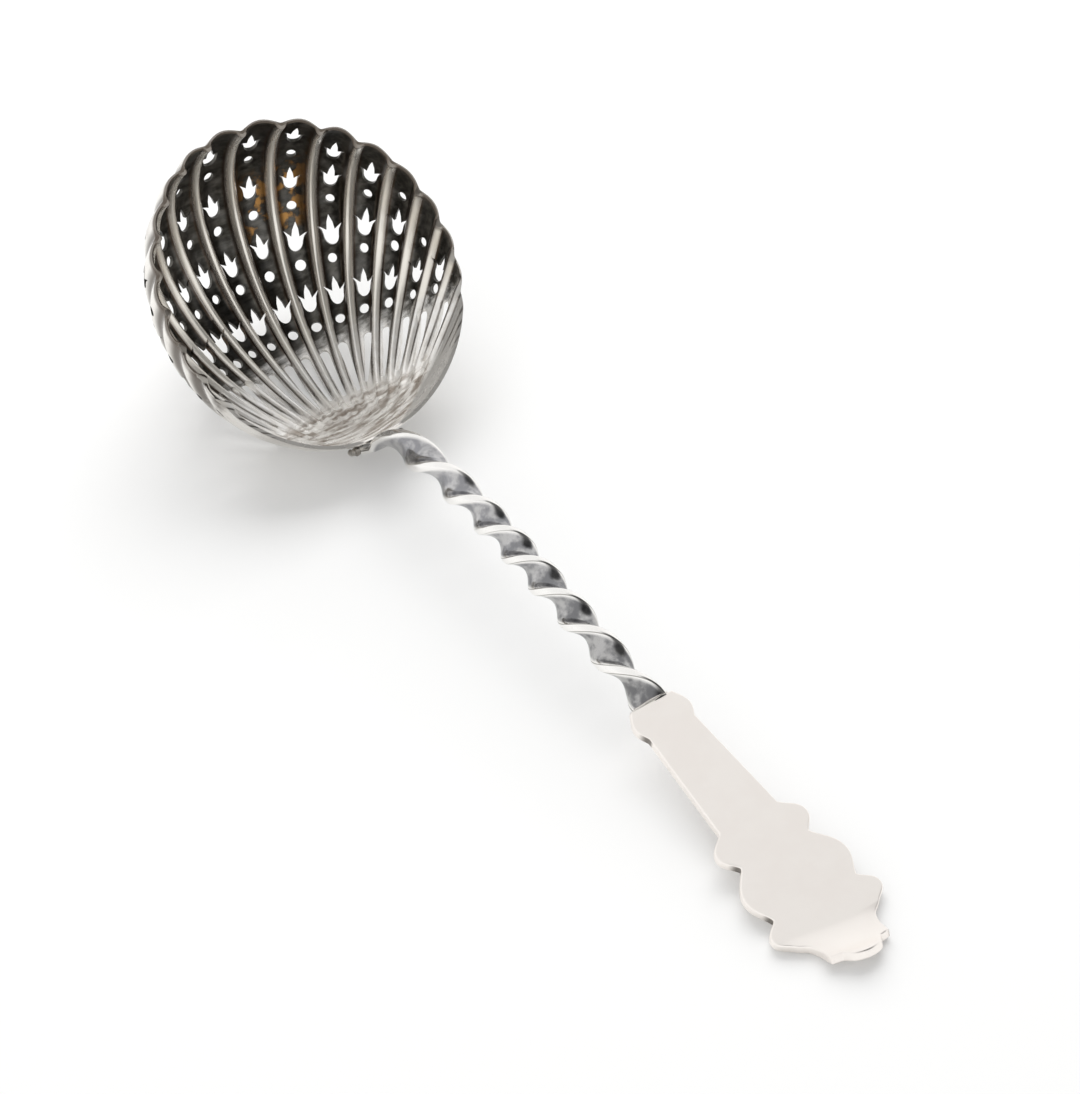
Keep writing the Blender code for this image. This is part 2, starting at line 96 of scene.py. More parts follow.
def bowl_outward(units):
    """Directions square to the bowl's surface, away from its inside."""
    ahead, aside, down = units.T
    rise = BOWL_LEAN * ahead / RIM_RADIUS - down / BOWL_DEPTH
    normals = np.column_stack((aside / half_width(aside), ahead / RIM_RADIUS, rise))
    return normals / np.linalg.norm(normals, axis=1, keepdims=True)


def flute_rim_angle(number):
    """Angle on the rim where a flute ends. Flute 0 runs to the tip, and flutes narrow toward the hinge."""
    return math.copysign(FLUTE_STEP * abs(number) - FLUTE_NARROWING * number ** 2, number)


def fan_angle(rim_angle):
    """Angle at the fan's point, behind the hinge, of a line to an angle on the rim."""
    ahead = RIM_RADIUS * math.cos(rim_angle) + RIM_RADIUS + FAN_SETBACK
    return math.atan2(RIM_RADIUS * math.sin(rim_angle), ahead)


def column_units(angle, count, trim=0.0):
    """Directions along one plane of the fan, from the hinge's rim to the tip's rim."""
    normal = np.array((-RIM_RADIUS * math.sin(angle), RIM_RADIUS * math.cos(angle),
                       -(BOWL_LEAN + FAN_LEAN) * BOWL_DEPTH * math.sin(angle)))
    size = np.linalg.norm(normal)
    offset = (RIM_RADIUS + FAN_SETBACK) * math.sin(angle) / size
    normal = normal / size
    radius = math.sqrt(max(0.0, 1 - offset ** 2))
    ahead = np.cross(normal, (0, 0, 1))
    ahead = ahead / np.linalg.norm(ahead)
    down = np.cross(ahead, normal)
    lowest = -offset * normal[2] / max(radius * down[2], WELD_DISTANCE)
    start = math.asin(min(1.0, lowest))
    span = math.pi - 2 * start
    turns = start + span * np.linspace(1 - trim, trim, count)
    return offset * normal + radius * (np.outer(np.cos(turns), ahead) + np.outer(np.sin(turns), down))


def bowl_columns():
    """Pairs of flute number and fan angle across the bowl. The columns crowd together at the ribs."""
    last = FLUTES_EACH_SIDE + 1
    steps = np.linspace(0, last, last * COLUMNS_PER_FLUTE + 1)
    numbers = steps - COLUMN_CROWDING * np.sin(2 * math.pi * (steps - 0.5)) / (2 * math.pi)
    half = [(number, fan_angle(flute_rim_angle(number))) for number in numbers]
    widest = math.asin(RIM_RADIUS / (RIM_RADIUS + FAN_SETBACK))
    edge = flute_rim_angle(last)
    for step in range(1, PLAIN_COLUMNS + 1):
        rim_angle = edge + (math.pi / 2 + widest - edge) * step / PLAIN_COLUMNS
        half.append((last, fan_angle(rim_angle)))
    return [(-number, -angle) for number, angle in reversed(half[1:])] + half


def build_blank():
    """The plain dished blank: an inside and an outside sheet, joined all round by a rounded lip."""
    columns = bowl_columns()
    rows = BOWL_ROWS + 1
    trim = LIP_HEIGHT / (math.pi * BOWL_DEPTH)
    points, outwards, numbers, layers = [], [], [], []
    for layer in (0.0, 1.0):
        for number, angle in columns:
            units = column_units(angle, rows, trim)
            outward = bowl_outward(units)
            points.append(bowl_points(units) + outward * (WALL - SHEET * (1 - layer)))
            outwards.append(outward)
            numbers.append(np.full(rows, number))
            layers.append(np.full(rows, layer))
    for end in (0, -1):
        for number, angle in columns:
            unit = column_units(angle, 2)[end:][:1]
            outward = bowl_outward(unit)
            points.append(bowl_points(unit) + outward * (WALL - SHEET / 2))
            outwards.append(outward)
            numbers.append(np.full(1, number))
            layers.append(np.full(1, 0.5))
    points = np.concatenate(points)
    count = len(columns)
    sheet = count * rows
    faces = []
    for column in range(count - 1):
        near, far = column * rows, (column + 1) * rows
        for row in range(BOWL_ROWS):
            inside = (near + row, near + row + 1, far + row + 1, far + row)
            faces.append(tuple(reversed(inside)))
            faces.append(tuple(spot + sheet for spot in inside))
        for end, row in enumerate((0, BOWL_ROWS)):
            lip = 2 * sheet + end * count + column
            for base in (0, sheet):
                strip = (base + near + row, base + far + row, lip + 1, lip)
                faces.append(strip if (base == 0) == (row == 0) else tuple(reversed(strip)))
    mesh = bpy.data.meshes.new("shell_blank")
    mesh.from_pydata(points.tolist(), [], faces)
    for name, kind, values in (("number", "FLOAT", np.concatenate(numbers)),
                               ("layer", "FLOAT", np.concatenate(layers)),
                               ("reach", "FLOAT", np.linalg.norm(points - fan_point, axis=1))):
        mesh.attributes.new(name, kind, "POINT").data.foreach_set("value", values)
    outward = mesh.attributes.new("outward", "FLOAT_VECTOR", "POINT")
    outward.data.foreach_set("vector", np.concatenate(outwards).ravel())
    bm = bmesh.new()
    bm.from_mesh(mesh)
    bmesh.ops.remove_doubles(bm, verts=bm.verts, dist=WELD_DISTANCE)
    bmesh.ops.recalc_face_normals(bm, faces=bm.faces)
    bm.to_mesh(mesh)
    bm.free()
    return mesh


def add_object(name, data):
    item = bpy.data.objects.new(name, data)
    bpy.context.scene.collection.objects.link(item)
    return item


class Wire:
    """One output in a node tree, which can stand in a formula like a plain number."""

    def __init__(self, socket):
        self.socket = socket
        self.tree = socket.id_data

    def maths(self, operation, *others):
        return maths_node(self.tree, operation, self, *others)

    def __add__(self, other):
        return self.maths("ADD", other)

    def __sub__(self, other):
        return self.maths("SUBTRACT", other)

    def __rsub__(self, other):
        return maths_node(self.tree, "SUBTRACT", other, self)

    def __mul__(self, other):
        return self.maths("MULTIPLY", other)

    def __truediv__(self, other):
        return self.maths("DIVIDE", other)

    def __abs__(self):
        return self.maths("ABSOLUTE")

    def root(self):
        return self.maths("MAXIMUM", 0.0).maths("SQRT")

    def step(self, start, end, low=0.0, high=1.0):
        """A soft step from low to high while the value goes from start to end."""
        return first_wire(self.tree, "ShaderNodeMapRange", {
            "Value": self, "From Min": start, "From Max": end, "To Min": low, "To Max": high},
            interpolation_type="SMOOTHSTEP")

    __radd__ = __add__
    __rmul__ = __mul__


def make_node(tree, kind, inputs, **settings):
    """Add a node with its settings, and with its inputs fed by wires or set to fixed values."""
    node = tree.nodes.new(kind)
    for name, value in settings.items():
        setattr(node, name, value)
    for name, value in inputs.items():
        if isinstance(value, Wire):
            tree.links.new(value.socket, node.inputs[name])
        else:
            node.inputs[name].default_value = value
    return node


def first_wire(tree, kind, inputs, **settings):
    return Wire(make_node(tree, kind, inputs, **settings).outputs[0])


def maths_node(tree, operation, *values):
    return first_wire(tree, "ShaderNodeMath", dict(enumerate(values)), operation=operation)


def vector_node(tree, operation, *values):
    return first_wire(tree, "ShaderNodeVectorMath", dict(enumerate(values)), operation=operation)


def split(vector):
    """The three parts of a vector."""
    return [Wire(socket) for socket in make_node(vector.tree, "ShaderNodeSeparateXYZ", {0: vector}).outputs]


def noise(vector, scale, detail):
    return first_wire(vector.tree, "ShaderNodeTexNoise", {"Vector": vector, "Scale": scale, "Detail": detail})


def scaled(tree, vector, factor):
    return first_wire(tree, "ShaderNodeVectorMath", {"Vector": vector, "Scale": factor}, operation="SCALE")


def attribute_wire(tree, name, kind="FLOAT"):
    return first_wire(tree, "GeometryNodeInputNamedAttribute", {"Name": name}, data_type=kind)


def start_tree(name, sockets):
    """A geometry tree with named inputs, given as pairs of socket type and names, and its last socket."""
    tree = bpy.data.node_groups.new(name, "GeometryNodeTree")
    tree.interface.new_socket("Geometry", in_out="INPUT", socket_type="NodeSocketGeometry")
    for kind, labels in sockets:
        for label in labels:
            tree.interface.new_socket(label, in_out="INPUT", socket_type="NodeSocket" + kind)
    tree.interface.new_socket("Geometry", in_out="OUTPUT", socket_type="NodeSocketGeometry")
    given = {socket.name: Wire(socket) for socket in tree.nodes.new("NodeGroupInput").outputs if socket.name}
    return tree, given, tree.nodes.new("NodeGroupOutput").inputs["Geometry"]


def end_tree(tree, geometry, material, last):
    """Realize what a tree has made, give it its material and pass it out."""
    realized = first_wire(tree, "GeometryNodeRealizeInstances", {"Geometry": geometry})
    finished = first_wire(tree, "GeometryNodeSetMaterial", {"Geometry": realized, "Material": material})
    tree.links.new(finished.socket, last)


def use_tree(item, tree, values):
    """Put a tree on an object, with its named inputs set by their identifiers."""
    modifier = item.modifiers.new(tree.name, "NODES")
    modifier.node_group = tree
    for socket in tree.interface.items_tree:
        if socket.in_out == "INPUT" and socket.name in values:
            modifier[socket.identifier] = values[socket.name]


def settle(item, material, sharp_angle):
    """Turn an object and its modifiers into one plain mesh at the origin, shaded smooth between its edges."""
    bpy.context.view_layer.update()
    result = item.evaluated_get(bpy.context.evaluated_depsgraph_get())
    mesh = bpy.data.meshes.new_from_object(result)
    item.modifiers.clear()
    item.data = mesh
    mesh.materials.clear()
    mesh.materials.append(material)
    mesh.shade_smooth()
    mesh.set_sharp_from_angle(angle=sharp_angle)


# This tree raises the sheet inward between the flutes, and its inside face a little more into round ribs
rib_tree, given, rib_end = start_tree("raise_ribs", (
    ("Float", ("Scallop Height", "Scallop Spread", "Rib Height", "Rib Width", "Hub Radius", "Full Reach",
               "Spread", "Hub Crease")),
    ("Material", ("Silver",))))
number = attribute_wire(rib_tree, "number")
reach = attribute_wire(rib_tree, "reach")
inside = 1.0 - attribute_wire(rib_tree, "layer")
half_hub = given["Hub Radius"] * 0.5
growth = ((reach - half_hub) / (given["Full Reach"] - half_hub)).maths("MAXIMUM", 0.0)
wave = (number * math.pi).maths("COSINE")
chance = first_wire(rib_tree, "ShaderNodeTexWhiteNoise", {"W": number.maths("FLOOR")},
                    noise_dimensions="1D")
uneven = 1.0 + (chance * 2.0 - 1.0) * given["Scallop Spread"]
scallop = growth * given["Scallop Height"] * uneven * (1.0 - (wave * wave + SCALLOP_CREST_ROUNDING).root())
off_rib = abs(number.maths("FRACT") - 0.5) * reach * given["Spread"]
half_rib = given["Rib Width"] * growth.step(0.0, 1.0, RIB_HUB_SHARE, 1.0) * 0.5
across = off_rib / half_rib
bead = (1.0 - across * across).root()
rib_rise = bead * given["Rib Height"] * inside * growth.step(RIB_START_GROWTH, RIB_FULL_GROWTH)
stretched = vector_node(rib_tree, "MULTIPLY", first_wire(rib_tree, "GeometryNodeInputPosition", {}),
                        HUB_CREASE_STRETCH)
wrinkles = noise(stretched, HUB_CREASE_SCALE, 3.0)
near_hub = reach.step(given["Hub Radius"] * HUB_CREASE_FADE, given["Hub Radius"] * HUB_CREASE_END, 1.0, 0.0)
crease = (wrinkles - 0.5) * given["Hub Crease"] * inside * near_hub
lift = scallop + rib_rise + crease
moved = first_wire(rib_tree, "GeometryNodeSetPosition", {
    "Geometry": given["Geometry"],
    "Offset": scaled(rib_tree, attribute_wire(rib_tree, "outward", "FLOAT_VECTOR"), lift * -1.0)})
end_tree(rib_tree, moved, given["Silver"], rib_end)

# The piercing runs along the bottom of each flute: one long slot that starts at the plain hub, then round
# holes and small tulips in turn, sawn through the sheet square to its surface. It was done by eye, so each
# cut is a little off its place, and one flute ends in two tulips.
SLOT_LENGTH = 0.0104
SLOT_WIDTH = 0.0016
SLOT_TIP_WIDTH = 0.0007
SLOT_TO_HOLE = 0.0043
HOLE_TO_TULIP = 0.0049
TULIP_TO_HOLE = 0.0058
SPACING_SHARE = 0.45
HOLE_DIAMETER = 0.0017
RIM_MARGIN = 0.0047
TULIP_HEIGHT = 0.0049
TULIP_WIDTH = 0.0039
ROWS_PER_FLUTE = 9
EXTRA_TULIP_FLUTE = 3
EXTRA_TULIP_ROW = 6
PUNCH_WANDER = 0.00025
PUNCH_SWING = math.radians(8)
PUNCH_SIZE_SPREAD = 0.09
PUNCH_SEED = 7
LINE_POINTS = 160
PUNCH_REACH = 0.0022
SLOT_END_POINTS = 9
HOLE_SIDES = 20
TULIP_CUP_POINTS = 7


def finish_mesh(bm, name):
    mesh = bpy.data.meshes.new(name)
    bm.to_mesh(mesh)
    bm.free()
    return mesh


def flute_lines():
    """The bottom line of every flute from the hub to the rim, as chains of edges."""
    bm = bmesh.new()
    outward_layer = bm.verts.layers.float_vector.new("outward")
    spacing_layer = bm.verts.layers.float.new("spacing")
    lengths = {}
    for flute in range(-FLUTES_EACH_SIDE, FLUTES_EACH_SIDE + 1):
        units = column_units(fan_angle(flute_rim_angle(flute)), LINE_POINTS)
        line = bowl_points(units)
        lengths[flute] = np.linalg.norm(np.diff(line, axis=0), axis=1).sum()
        hub = int(np.argmax(np.linalg.norm(line - fan_point, axis=1) > HUB_RADIUS))
        chain = []
        for point, outward in zip(line[hub:], bowl_outward(units)[hub:]):
            spot = bm.verts.new(point)
            spot[outward_layer] = outward
            spot[spacing_layer] = lengths[flute]
            chain.append(spot)
        for start, end in zip(chain, chain[1:]):
            bm.edges.new((start, end))
    for spot in bm.verts:
        spot[spacing_layer] = 1 - SPACING_SHARE * (1 - spot[spacing_layer] / lengths[0])
    return finish_mesh(bm, "flute_lines")


def slot_outline():
    """A long slot along Y, with round ends, that narrows toward the hub."""
    outline = []
    ends = ((SLOT_LENGTH / 2, SLOT_WIDTH, 0), (-SLOT_LENGTH / 2, SLOT_TIP_WIDTH, math.pi))
    for middle, width, start in ends:
        inset = math.copysign(width / 2, middle)
        for turn in np.linspace(start, start + math.pi, SLOT_END_POINTS):
            outline.append((width / 2 * math.cos(turn), middle - inset + width / 2 * math.sin(turn)))
    return outline


def hole_outline():
    turns = np.linspace(0, 2 * math.pi, HOLE_SIDES, endpoint=False)
    return [(HOLE_DIAMETER / 2 * math.cos(turn), HOLE_DIAMETER / 2 * math.sin(turn)) for turn in turns]


def tulip_outline():
    """A tulip seen from the front: a round cup, two side petals that flare, and a tall middle petal.

    Across, the numbers are shares of its half-width, and along it they are shares of its height.
    """
    cup = [(0.62 * math.cos(turn), 0.34 * (1 + math.sin(turn)))
           for turn in np.linspace(-math.pi / 2, 0, TULIP_CUP_POINTS)]
    right = cup + [(0.70, 0.50), (1.0, 0.70), (0.60, 0.58), (0.34, 0.50), (0.25, 0.74)]
    left = [(-x, y) for x, y in reversed(right[1:])]
    shares = right + [(0, 1)] + left
    return [(x * TULIP_WIDTH / 2, (y - 0.5) * TULIP_HEIGHT) for x, y in shares]


def build_punch(name, outline):
    """A straight punch with an outline in its XY plane."""
    bm = bmesh.new()
    face = bm.faces.new([bm.verts.new((x, y, -PUNCH_REACH)) for x, y in outline])
    grown = bmesh.ops.extrude_face_region(bm, geom=[face])["geom"]
    top = [part for part in grown if isinstance(part, bmesh.types.BMVert)]
    bmesh.ops.translate(bm, verts=top, vec=(0, 0, 2 * PUNCH_REACH))
    bmesh.ops.recalc_face_normals(bm, faces=bm.faces)
    return add_object(name, finish_mesh(bm, name))


pierce_tree, given, pierce_end = start_tree("pierce_flutes", (
    ("Object", ("Flute Lines", "Slot Punch", "Hole Punch", "Tulip Punch")),
    ("Int", ("Flutes", "Rows", "Extra Tulip Flute", "Extra Tulip Row", "Seed")),
    ("Float", ("Slot Length", "Slot To Hole", "Hole To Tulip", "Tulip To Hole", "Rim Margin", "Wander",
               "Swing", "Size Spread")),
    ("Material", ("Silver",))))


def object_mesh(label):
    """The mesh of an object that is given to the piercing."""
    node = make_node(pierce_tree, "GeometryNodeObjectInfo", {"Object": given[label]})
    return Wire(node.outputs["Geometry"])


flute_curves = first_wire(pierce_tree, "GeometryNodeMeshToCurve", {"Mesh": object_mesh("Flute Lines")})


def on_flute(flute, length, attribute, kind):
    """Place, heading and an attribute of a flute's line at a length from the hub."""
    node = make_node(pierce_tree, "GeometryNodeSampleCurve", {
        "Curves": flute_curves, "Value": attribute_wire(pierce_tree, attribute, kind), "Length": length,
        "Curve Index": flute}, mode="LENGTH", data_type=kind, use_all_curves=False)
    return [Wire(node.outputs[name]) for name in ("Position", "Tangent", "Value")]


gather = pierce_tree.nodes.new("GeometryNodeJoinGeometry")
chance = first_wire(pierce_tree, "FunctionNodeRandomValue", {
    0: (-1.0, -1.0, -1.0), 1: (1.0, 1.0, 1.0), "Seed": given["Seed"]}, data_type="FLOAT_VECTOR")
astray, askew, oversize = split(chance)
hand_turn = first_wire(pierce_tree, "FunctionNodeEulerToRotation", {0: first_wire(
    pierce_tree, "ShaderNodeCombineXYZ", {"Z": askew * given["Swing"]})})
hand_size = 1.0 + oversize * given["Size Spread"]


def stamp_flutes(count, flute, length, choices):
    """Punches that stand square on the flutes, each a little off. A choice is a selection and a punch."""
    place, heading, outward = on_flute(flute, length + astray * given["Wander"], "outward", "FLOAT_VECTOR")
    points = first_wire(pierce_tree, "GeometryNodePoints", {"Count": count, "Position": place})
    turned = first_wire(pierce_tree, "FunctionNodeAxesToRotation", {
        "Primary Axis": outward, "Secondary Axis": heading}, primary_axis="Z", secondary_axis="Y")
    turned = first_wire(pierce_tree, "FunctionNodeRotateRotation", {
        "Rotation": turned, "Rotate By": hand_turn}, rotation_space="LOCAL")
    for selection, punch in choices:
        stamped = first_wire(pierce_tree, "GeometryNodeInstanceOnPoints", {
            "Points": points, "Selection": selection, "Instance": object_mesh(punch), "Rotation": turned,
            "Scale": hand_size})
        pierce_tree.links.new(stamped.socket, gather.inputs["Geometry"])


# One slot for each flute, then holes and tulips in turn for as far as the flute has room
spot = first_wire(pierce_tree, "GeometryNodeInputIndex", {})
stamp_flutes(given["Flutes"], spot, given["Slot Length"] * 0.5, ((True, "Slot Punch"),))
flute = ((spot + 0.5) / given["Rows"]).maths("FLOOR")
row = (spot - flute * given["Rows"]).maths("ROUND")
pairs = (row * 0.5).maths("FLOOR")
is_tulip = row - pairs * 2.0
travel = given["Slot To Hole"] + (pairs + is_tulip) * given["Hole To Tulip"] + pairs * given["Tulip To Hole"]
on_extra_flute = flute.maths("COMPARE", given["Extra Tulip Flute"], 0.5)
on_extra_row = row.maths("COMPARE", given["Extra Tulip Row"], 0.5)
is_tulip = is_tulip.maths("MAXIMUM", on_extra_flute * on_extra_row)
spacing = on_flute(flute, 0.0, "spacing", "FLOAT")[2]
distance = given["Slot Length"] + travel * spacing
line_length = first_wire(pierce_tree, "GeometryNodeSampleIndex", {
    "Geometry": flute_curves, "Value": first_wire(pierce_tree, "GeometryNodeSplineLength", {}),
    "Index": flute}, domain="CURVE")
fits = distance.maths("LESS_THAN", line_length - given["Rim Margin"])
stamp_flutes(given["Flutes"] * given["Rows"], flute, distance, (
    (fits * (1.0 - is_tulip), "Hole Punch"), (fits * is_tulip, "Tulip Punch")))
punches = first_wire(pierce_tree, "GeometryNodeRealizeInstances", {
    "Geometry": Wire(gather.outputs["Geometry"])})
pierced = first_wire(pierce_tree, "GeometryNodeMeshBoolean", {
    "Mesh 1": given["Geometry"], "Mesh 2": punches}, operation="DIFFERENCE", solver="MANIFOLD")
end_tree(pierce_tree, pierced, given["Silver"], pierce_end)


def silver_wear_group():
    """What handling does to silver: soft tarnish patches, fine rubbing marks and small dents."""
    group = bpy.data.node_groups.new("silver_wear", "ShaderNodeTree")
    group.interface.new_socket("Vector", in_out="INPUT", socket_type="NodeSocketVector")
    for label in ("Patch Scale", "Mark Scale"):
        group.interface.new_socket(label, in_out="INPUT", socket_type="NodeSocketFloat")
    for label in ("Patches", "Marks", "Dents"):
        group.interface.new_socket(label, in_out="OUTPUT", socket_type="NodeSocketFloat")
    entry = {socket.name: Wire(socket) for socket in group.nodes.new("NodeGroupInput").outputs if socket.name}
    leave = group.nodes.new("NodeGroupOutput").inputs
    for label, scale, detail, stretch in (("Patches", "Patch Scale", 4.0, (1.0, 1.0, 1.0)),
                                          ("Marks", "Mark Scale", 3.0, (1.0, 0.06, 1.0)),
                                          ("Dents", "Mark Scale", 2.0, (0.3, 0.3, 0.3))):
        spread = vector_node(group, "MULTIPLY", entry["Vector"], stretch)
        group.links.new(noise(spread, entry[scale], detail).socket, leave[label])
    return group


silver_wear = silver_wear_group()


def start_silver(name, patch_scale, mark_scale):
    """A metal material with the shared wear, its shader's inputs and its object coordinates."""
    material = bpy.data.materials.new(name)
    material.use_nodes = True
    tree = material.node_tree
    surface = tree.nodes["Principled BSDF"].inputs
    surface["Metallic"].default_value = 1.0
    place = Wire(make_node(tree, "ShaderNodeTexCoord", {}).outputs["Object"])
    worn = make_node(tree, "ShaderNodeGroup", {}, node_tree=silver_wear)
    tree.links.new(place.socket, worn.inputs["Vector"])
    worn.inputs["Patch Scale"].default_value = patch_scale
    worn.inputs["Mark Scale"].default_value = mark_scale
    return material, surface, {socket.name: Wire(socket) for socket in worn.outputs}, place


def blend(share, first, second):
    """A colour that goes from the first to the second. A mix node holds sockets of every kind."""
    node = make_node(share.tree, "ShaderNodeMix", {0: share}, data_type="RGBA")
    colours = [socket for socket in node.inputs if socket.type == "RGBA"]
    for socket, colour in zip(colours, (first, second)):
        if isinstance(colour, Wire):
            share.tree.links.new(colour.socket, socket)
        else:
            socket.default_value = (*colour, 1.0)
    return Wire(next(socket for socket in node.outputs if socket.type == "RGBA"))


def feed(surface, **values):
    """Link wires to the shader's inputs, such as Base_Color."""
    for name, wire in values.items():
        wire.tree.links.new(wire.socket, surface[name.replace("_", " ")])


def surface_facing(tree):
    """Which way each point of the surface faces, on the object's axes."""
    return Wire(make_node(tree, "ShaderNodeTexCoord", {}).outputs["Normal"])


def dot_product(first, second):
    node = make_node(first.tree, "ShaderNodeVectorMath", {0: first, 1: second}, operation="DOT_PRODUCT")
    return Wire(node.outputs["Value"])


def add_bumps(surface, height, strength, depth):
    feed(surface, Normal=first_wire(height.tree, "ShaderNodeBump", {
        "Strength": strength, "Distance": depth, "Height": height}))


# The bowl's finish follows its flutes, so the flute number is worked out again from each point's place.
# The slot bars and the hub are rubbed bright, the flutes beyond them are dark, and two flutes near the tip
# have an orange stain.
RIB_SILVER = (0.98, 0.94, 0.86)
RIB_FLANK_SHADE = (0.56, 0.50, 0.43)
SLOT_SILVER = (0.86, 0.83, 0.78)
RUBBED_SILVER = (0.97, 0.955, 0.93)
SIDE_SILVER = (0.50, 0.485, 0.46)
OUTSIDE_GREY = (0.60, 0.57, 0.53)
OUTSIDE_SILVER = (0.88, 0.855, 0.81)
GROOVE_BROWN = (0.10, 0.083, 0.068)
FLUTE_DARK = (0.028, 0.026, 0.022)
FLUTE_GREY = (0.070, 0.066, 0.057)
RIB_FOOT_BROWN = (0.060, 0.040, 0.026)
HUB_BROWN = (0.36, 0.31, 0.265)
HUB_BRIGHT = (0.98, 0.955, 0.91)
RIM_BROWN = (0.13, 0.108, 0.088)
TARNISH_ORANGE = (0.52, 0.27, 0.085)
TARNISH_FLUTE = 1.5
TARNISH_REACH = 0.0505
TARNISH_HALF_LENGTH = 0.0042
DARK_START = HUB_RADIUS * 1.40
DARK_FULL = HUB_RADIUS * 1.60
DARK_WANDER = 0.006
# Between these reaches the painted shade on the rib flanks and the ribs' extra metallic shine build up
RIB_SHADE_AND_SHINE_START = HUB_RADIUS * 1.5
RIB_SHADE_AND_SHINE_FULL = HUB_RADIUS * 2.2
RIM_BAND_START = -0.0011
RIM_BAND_FULL = -0.0003
RIM_BARE_AHEAD = -0.014
RIM_BROWN_AHEAD = 0.004
STREAK_STRETCH = (0.16, 1.0, 1.0)
STREAK_SCALE = 1100.0
CLOUD_SCALE = 130.0
bowl_silver, surface, wear, place = start_silver("pierced_silver", patch_scale=420.0, mark_scale=900.0)
tree = bowl_silver.node_tree
in_bowl = first_wire(tree, "ShaderNodeMapping", {
    "Vector": place, "Location": BOWL_SEAT, "Rotation": (RIM_TILT, 0, 0)}, vector_type="TEXTURE")

# The flute number of each point, counted from the middle one, and how far it is from the nearest rib
aside, ahead, up = split(in_bowl)
aside = aside * (1.0 + aside.maths("LESS_THAN", 0.0) * (1 / LEFT_SHARE - 1))
from_fan = ahead + (RIM_RADIUS + FAN_SETBACK)
angle = aside.maths("ARCTAN2", from_fan - up * FAN_LEAN)
swing = angle.maths("SINE") * (1 + FAN_SETBACK / RIM_RADIUS)
rim_angle = angle + swing.maths("MINIMUM", 1.0).maths("MAXIMUM", -1.0).maths("ARCSINE")
flute_root = (FLUTE_STEP ** 2 - abs(rim_angle) * (4 * FLUTE_NARROWING)).root()
flute_number = (FLUTE_STEP - flute_root) / (2 * FLUTE_NARROWING)
reach = (aside * aside + from_fan * from_fan + up * up).root()
off_rib = abs(flute_number.maths("FRACT") - 0.5) * reach * FLUTE_SPREAD
growth = (reach - HUB_RADIUS / 2) / (2 * RIM_RADIUS - HUB_RADIUS / 2)
from_crest = off_rib / growth.step(0.0, 1.0, RIB_HUB_SHARE * RIB_WIDTH / 2, RIB_WIDTH / 2)
on_rib = from_crest.step(0.60, 1.12, 1.0, 0.0)
at_foot = from_crest.step(1.0, 1.7, 1.0, 0.0)

# Which parts are inside, on the hub, at the rim or dark. A thin dark line follows the foot of each rib
outwardness = dot_product(surface_facing(tree), vector_node(tree, "SUBTRACT", place, tuple(BOWL_SEAT)))
inside = outwardness.step(0.12 * RIM_RADIUS, 0.32 * RIM_RADIUS, 1.0, 0.0)
streaks = noise(vector_node(tree, "MULTIPLY", in_bowl, STREAK_STRETCH), STREAK_SCALE, 6.0)
past_slots = (reach + (streaks - 0.5) * DARK_WANDER).step(DARK_START, DARK_FULL)
on_hub = reach.step(HUB_RADIUS * 0.86, HUB_RADIUS * 1.04, 1.0, 0.0) * inside
at_rim = up.step(RIM_BAND_START, RIM_BAND_FULL) * ahead.step(RIM_BARE_AHEAD, RIM_BROWN_AHEAD, 0.15, 0.8)
grimy = wear["Patches"].step(0.30, 0.62, 0.93, 1.0)
in_flute = past_slots * (1.0 - on_rib)
foot_line = at_foot * (1.0 - on_rib) * reach.step(HUB_RADIUS * 0.95, HUB_RADIUS * 1.15) * 0.9
dark = in_flute.maths("MAXIMUM", foot_line) * inside * grimy

# The outside is cloudy and paler toward the rim, darker towards the bottom, with dark grooves behind the ribs
groove = (1.0 - inside) * off_rib.step(RIB_WIDTH * 0.10, RIB_WIDTH * 0.75, 0.9, 0.0) * past_slots
high_up = up.step(-BOWL_DEPTH, -BOWL_DEPTH * 0.2)
clouds = noise(in_bowl, CLOUD_SCALE, 3.0)
cloudy_and_paler_up = clouds.step(0.30, 0.62) * high_up.step(0.0, 1.0, 0.45, 1.0)
outside_tone = blend(cloudy_and_paler_up, OUTSIDE_GREY, OUTSIDE_SILVER)

# The inside's bright metal, with a painted highlight along each rib's crest and painted shade on its flanks
# that grows away from the hub, then its dark flutes with their stain, and then all of it together
rubbed = wear["Marks"].step(0.3, 0.7)
mottled = streaks.step(0.36, 0.62)
painted_flank_shade = from_crest.step(0.20, 0.85) * reach.step(RIB_SHADE_AND_SHINE_START, RIB_SHADE_AND_SHINE_FULL, 0.2, 1.0)
rib_painted_highlight_and_shade = blend(painted_flank_shade, RIB_SILVER, RIB_FLANK_SHADE)
silver = blend(on_rib * past_slots, blend(rubbed, SLOT_SILVER, RUBBED_SILVER), rib_painted_highlight_and_shade)
silver = blend(on_hub, silver, blend(mottled, HUB_BROWN, HUB_BRIGHT))
silver = blend(flute_number.step(FLUTES_EACH_SIDE + 0.3, FLUTES_EACH_SIDE + 1), silver, SIDE_SILVER)
floor_dark = blend(streaks.step(0.40, 0.66), FLUTE_DARK, FLUTE_GREY)
flute_side = flute_number * aside.maths("SIGN")
tarnish = (abs(flute_side - TARNISH_FLUTE).step(0.5, 1.0, 1.0, 0.0)
           * abs(reach - TARNISH_REACH).step(TARNISH_HALF_LENGTH * 0.4, TARNISH_HALF_LENGTH, 1.0, 0.0)
           * wear["Patches"].step(0.48, 0.60, 0.0, 0.85))
floor_dark = blend(tarnish, blend(at_foot, floor_dark, RIB_FOOT_BROWN), TARNISH_ORANGE)
tone = blend(inside, blend(groove, outside_tone, GROOVE_BROWN), blend(dark, silver, floor_dark))
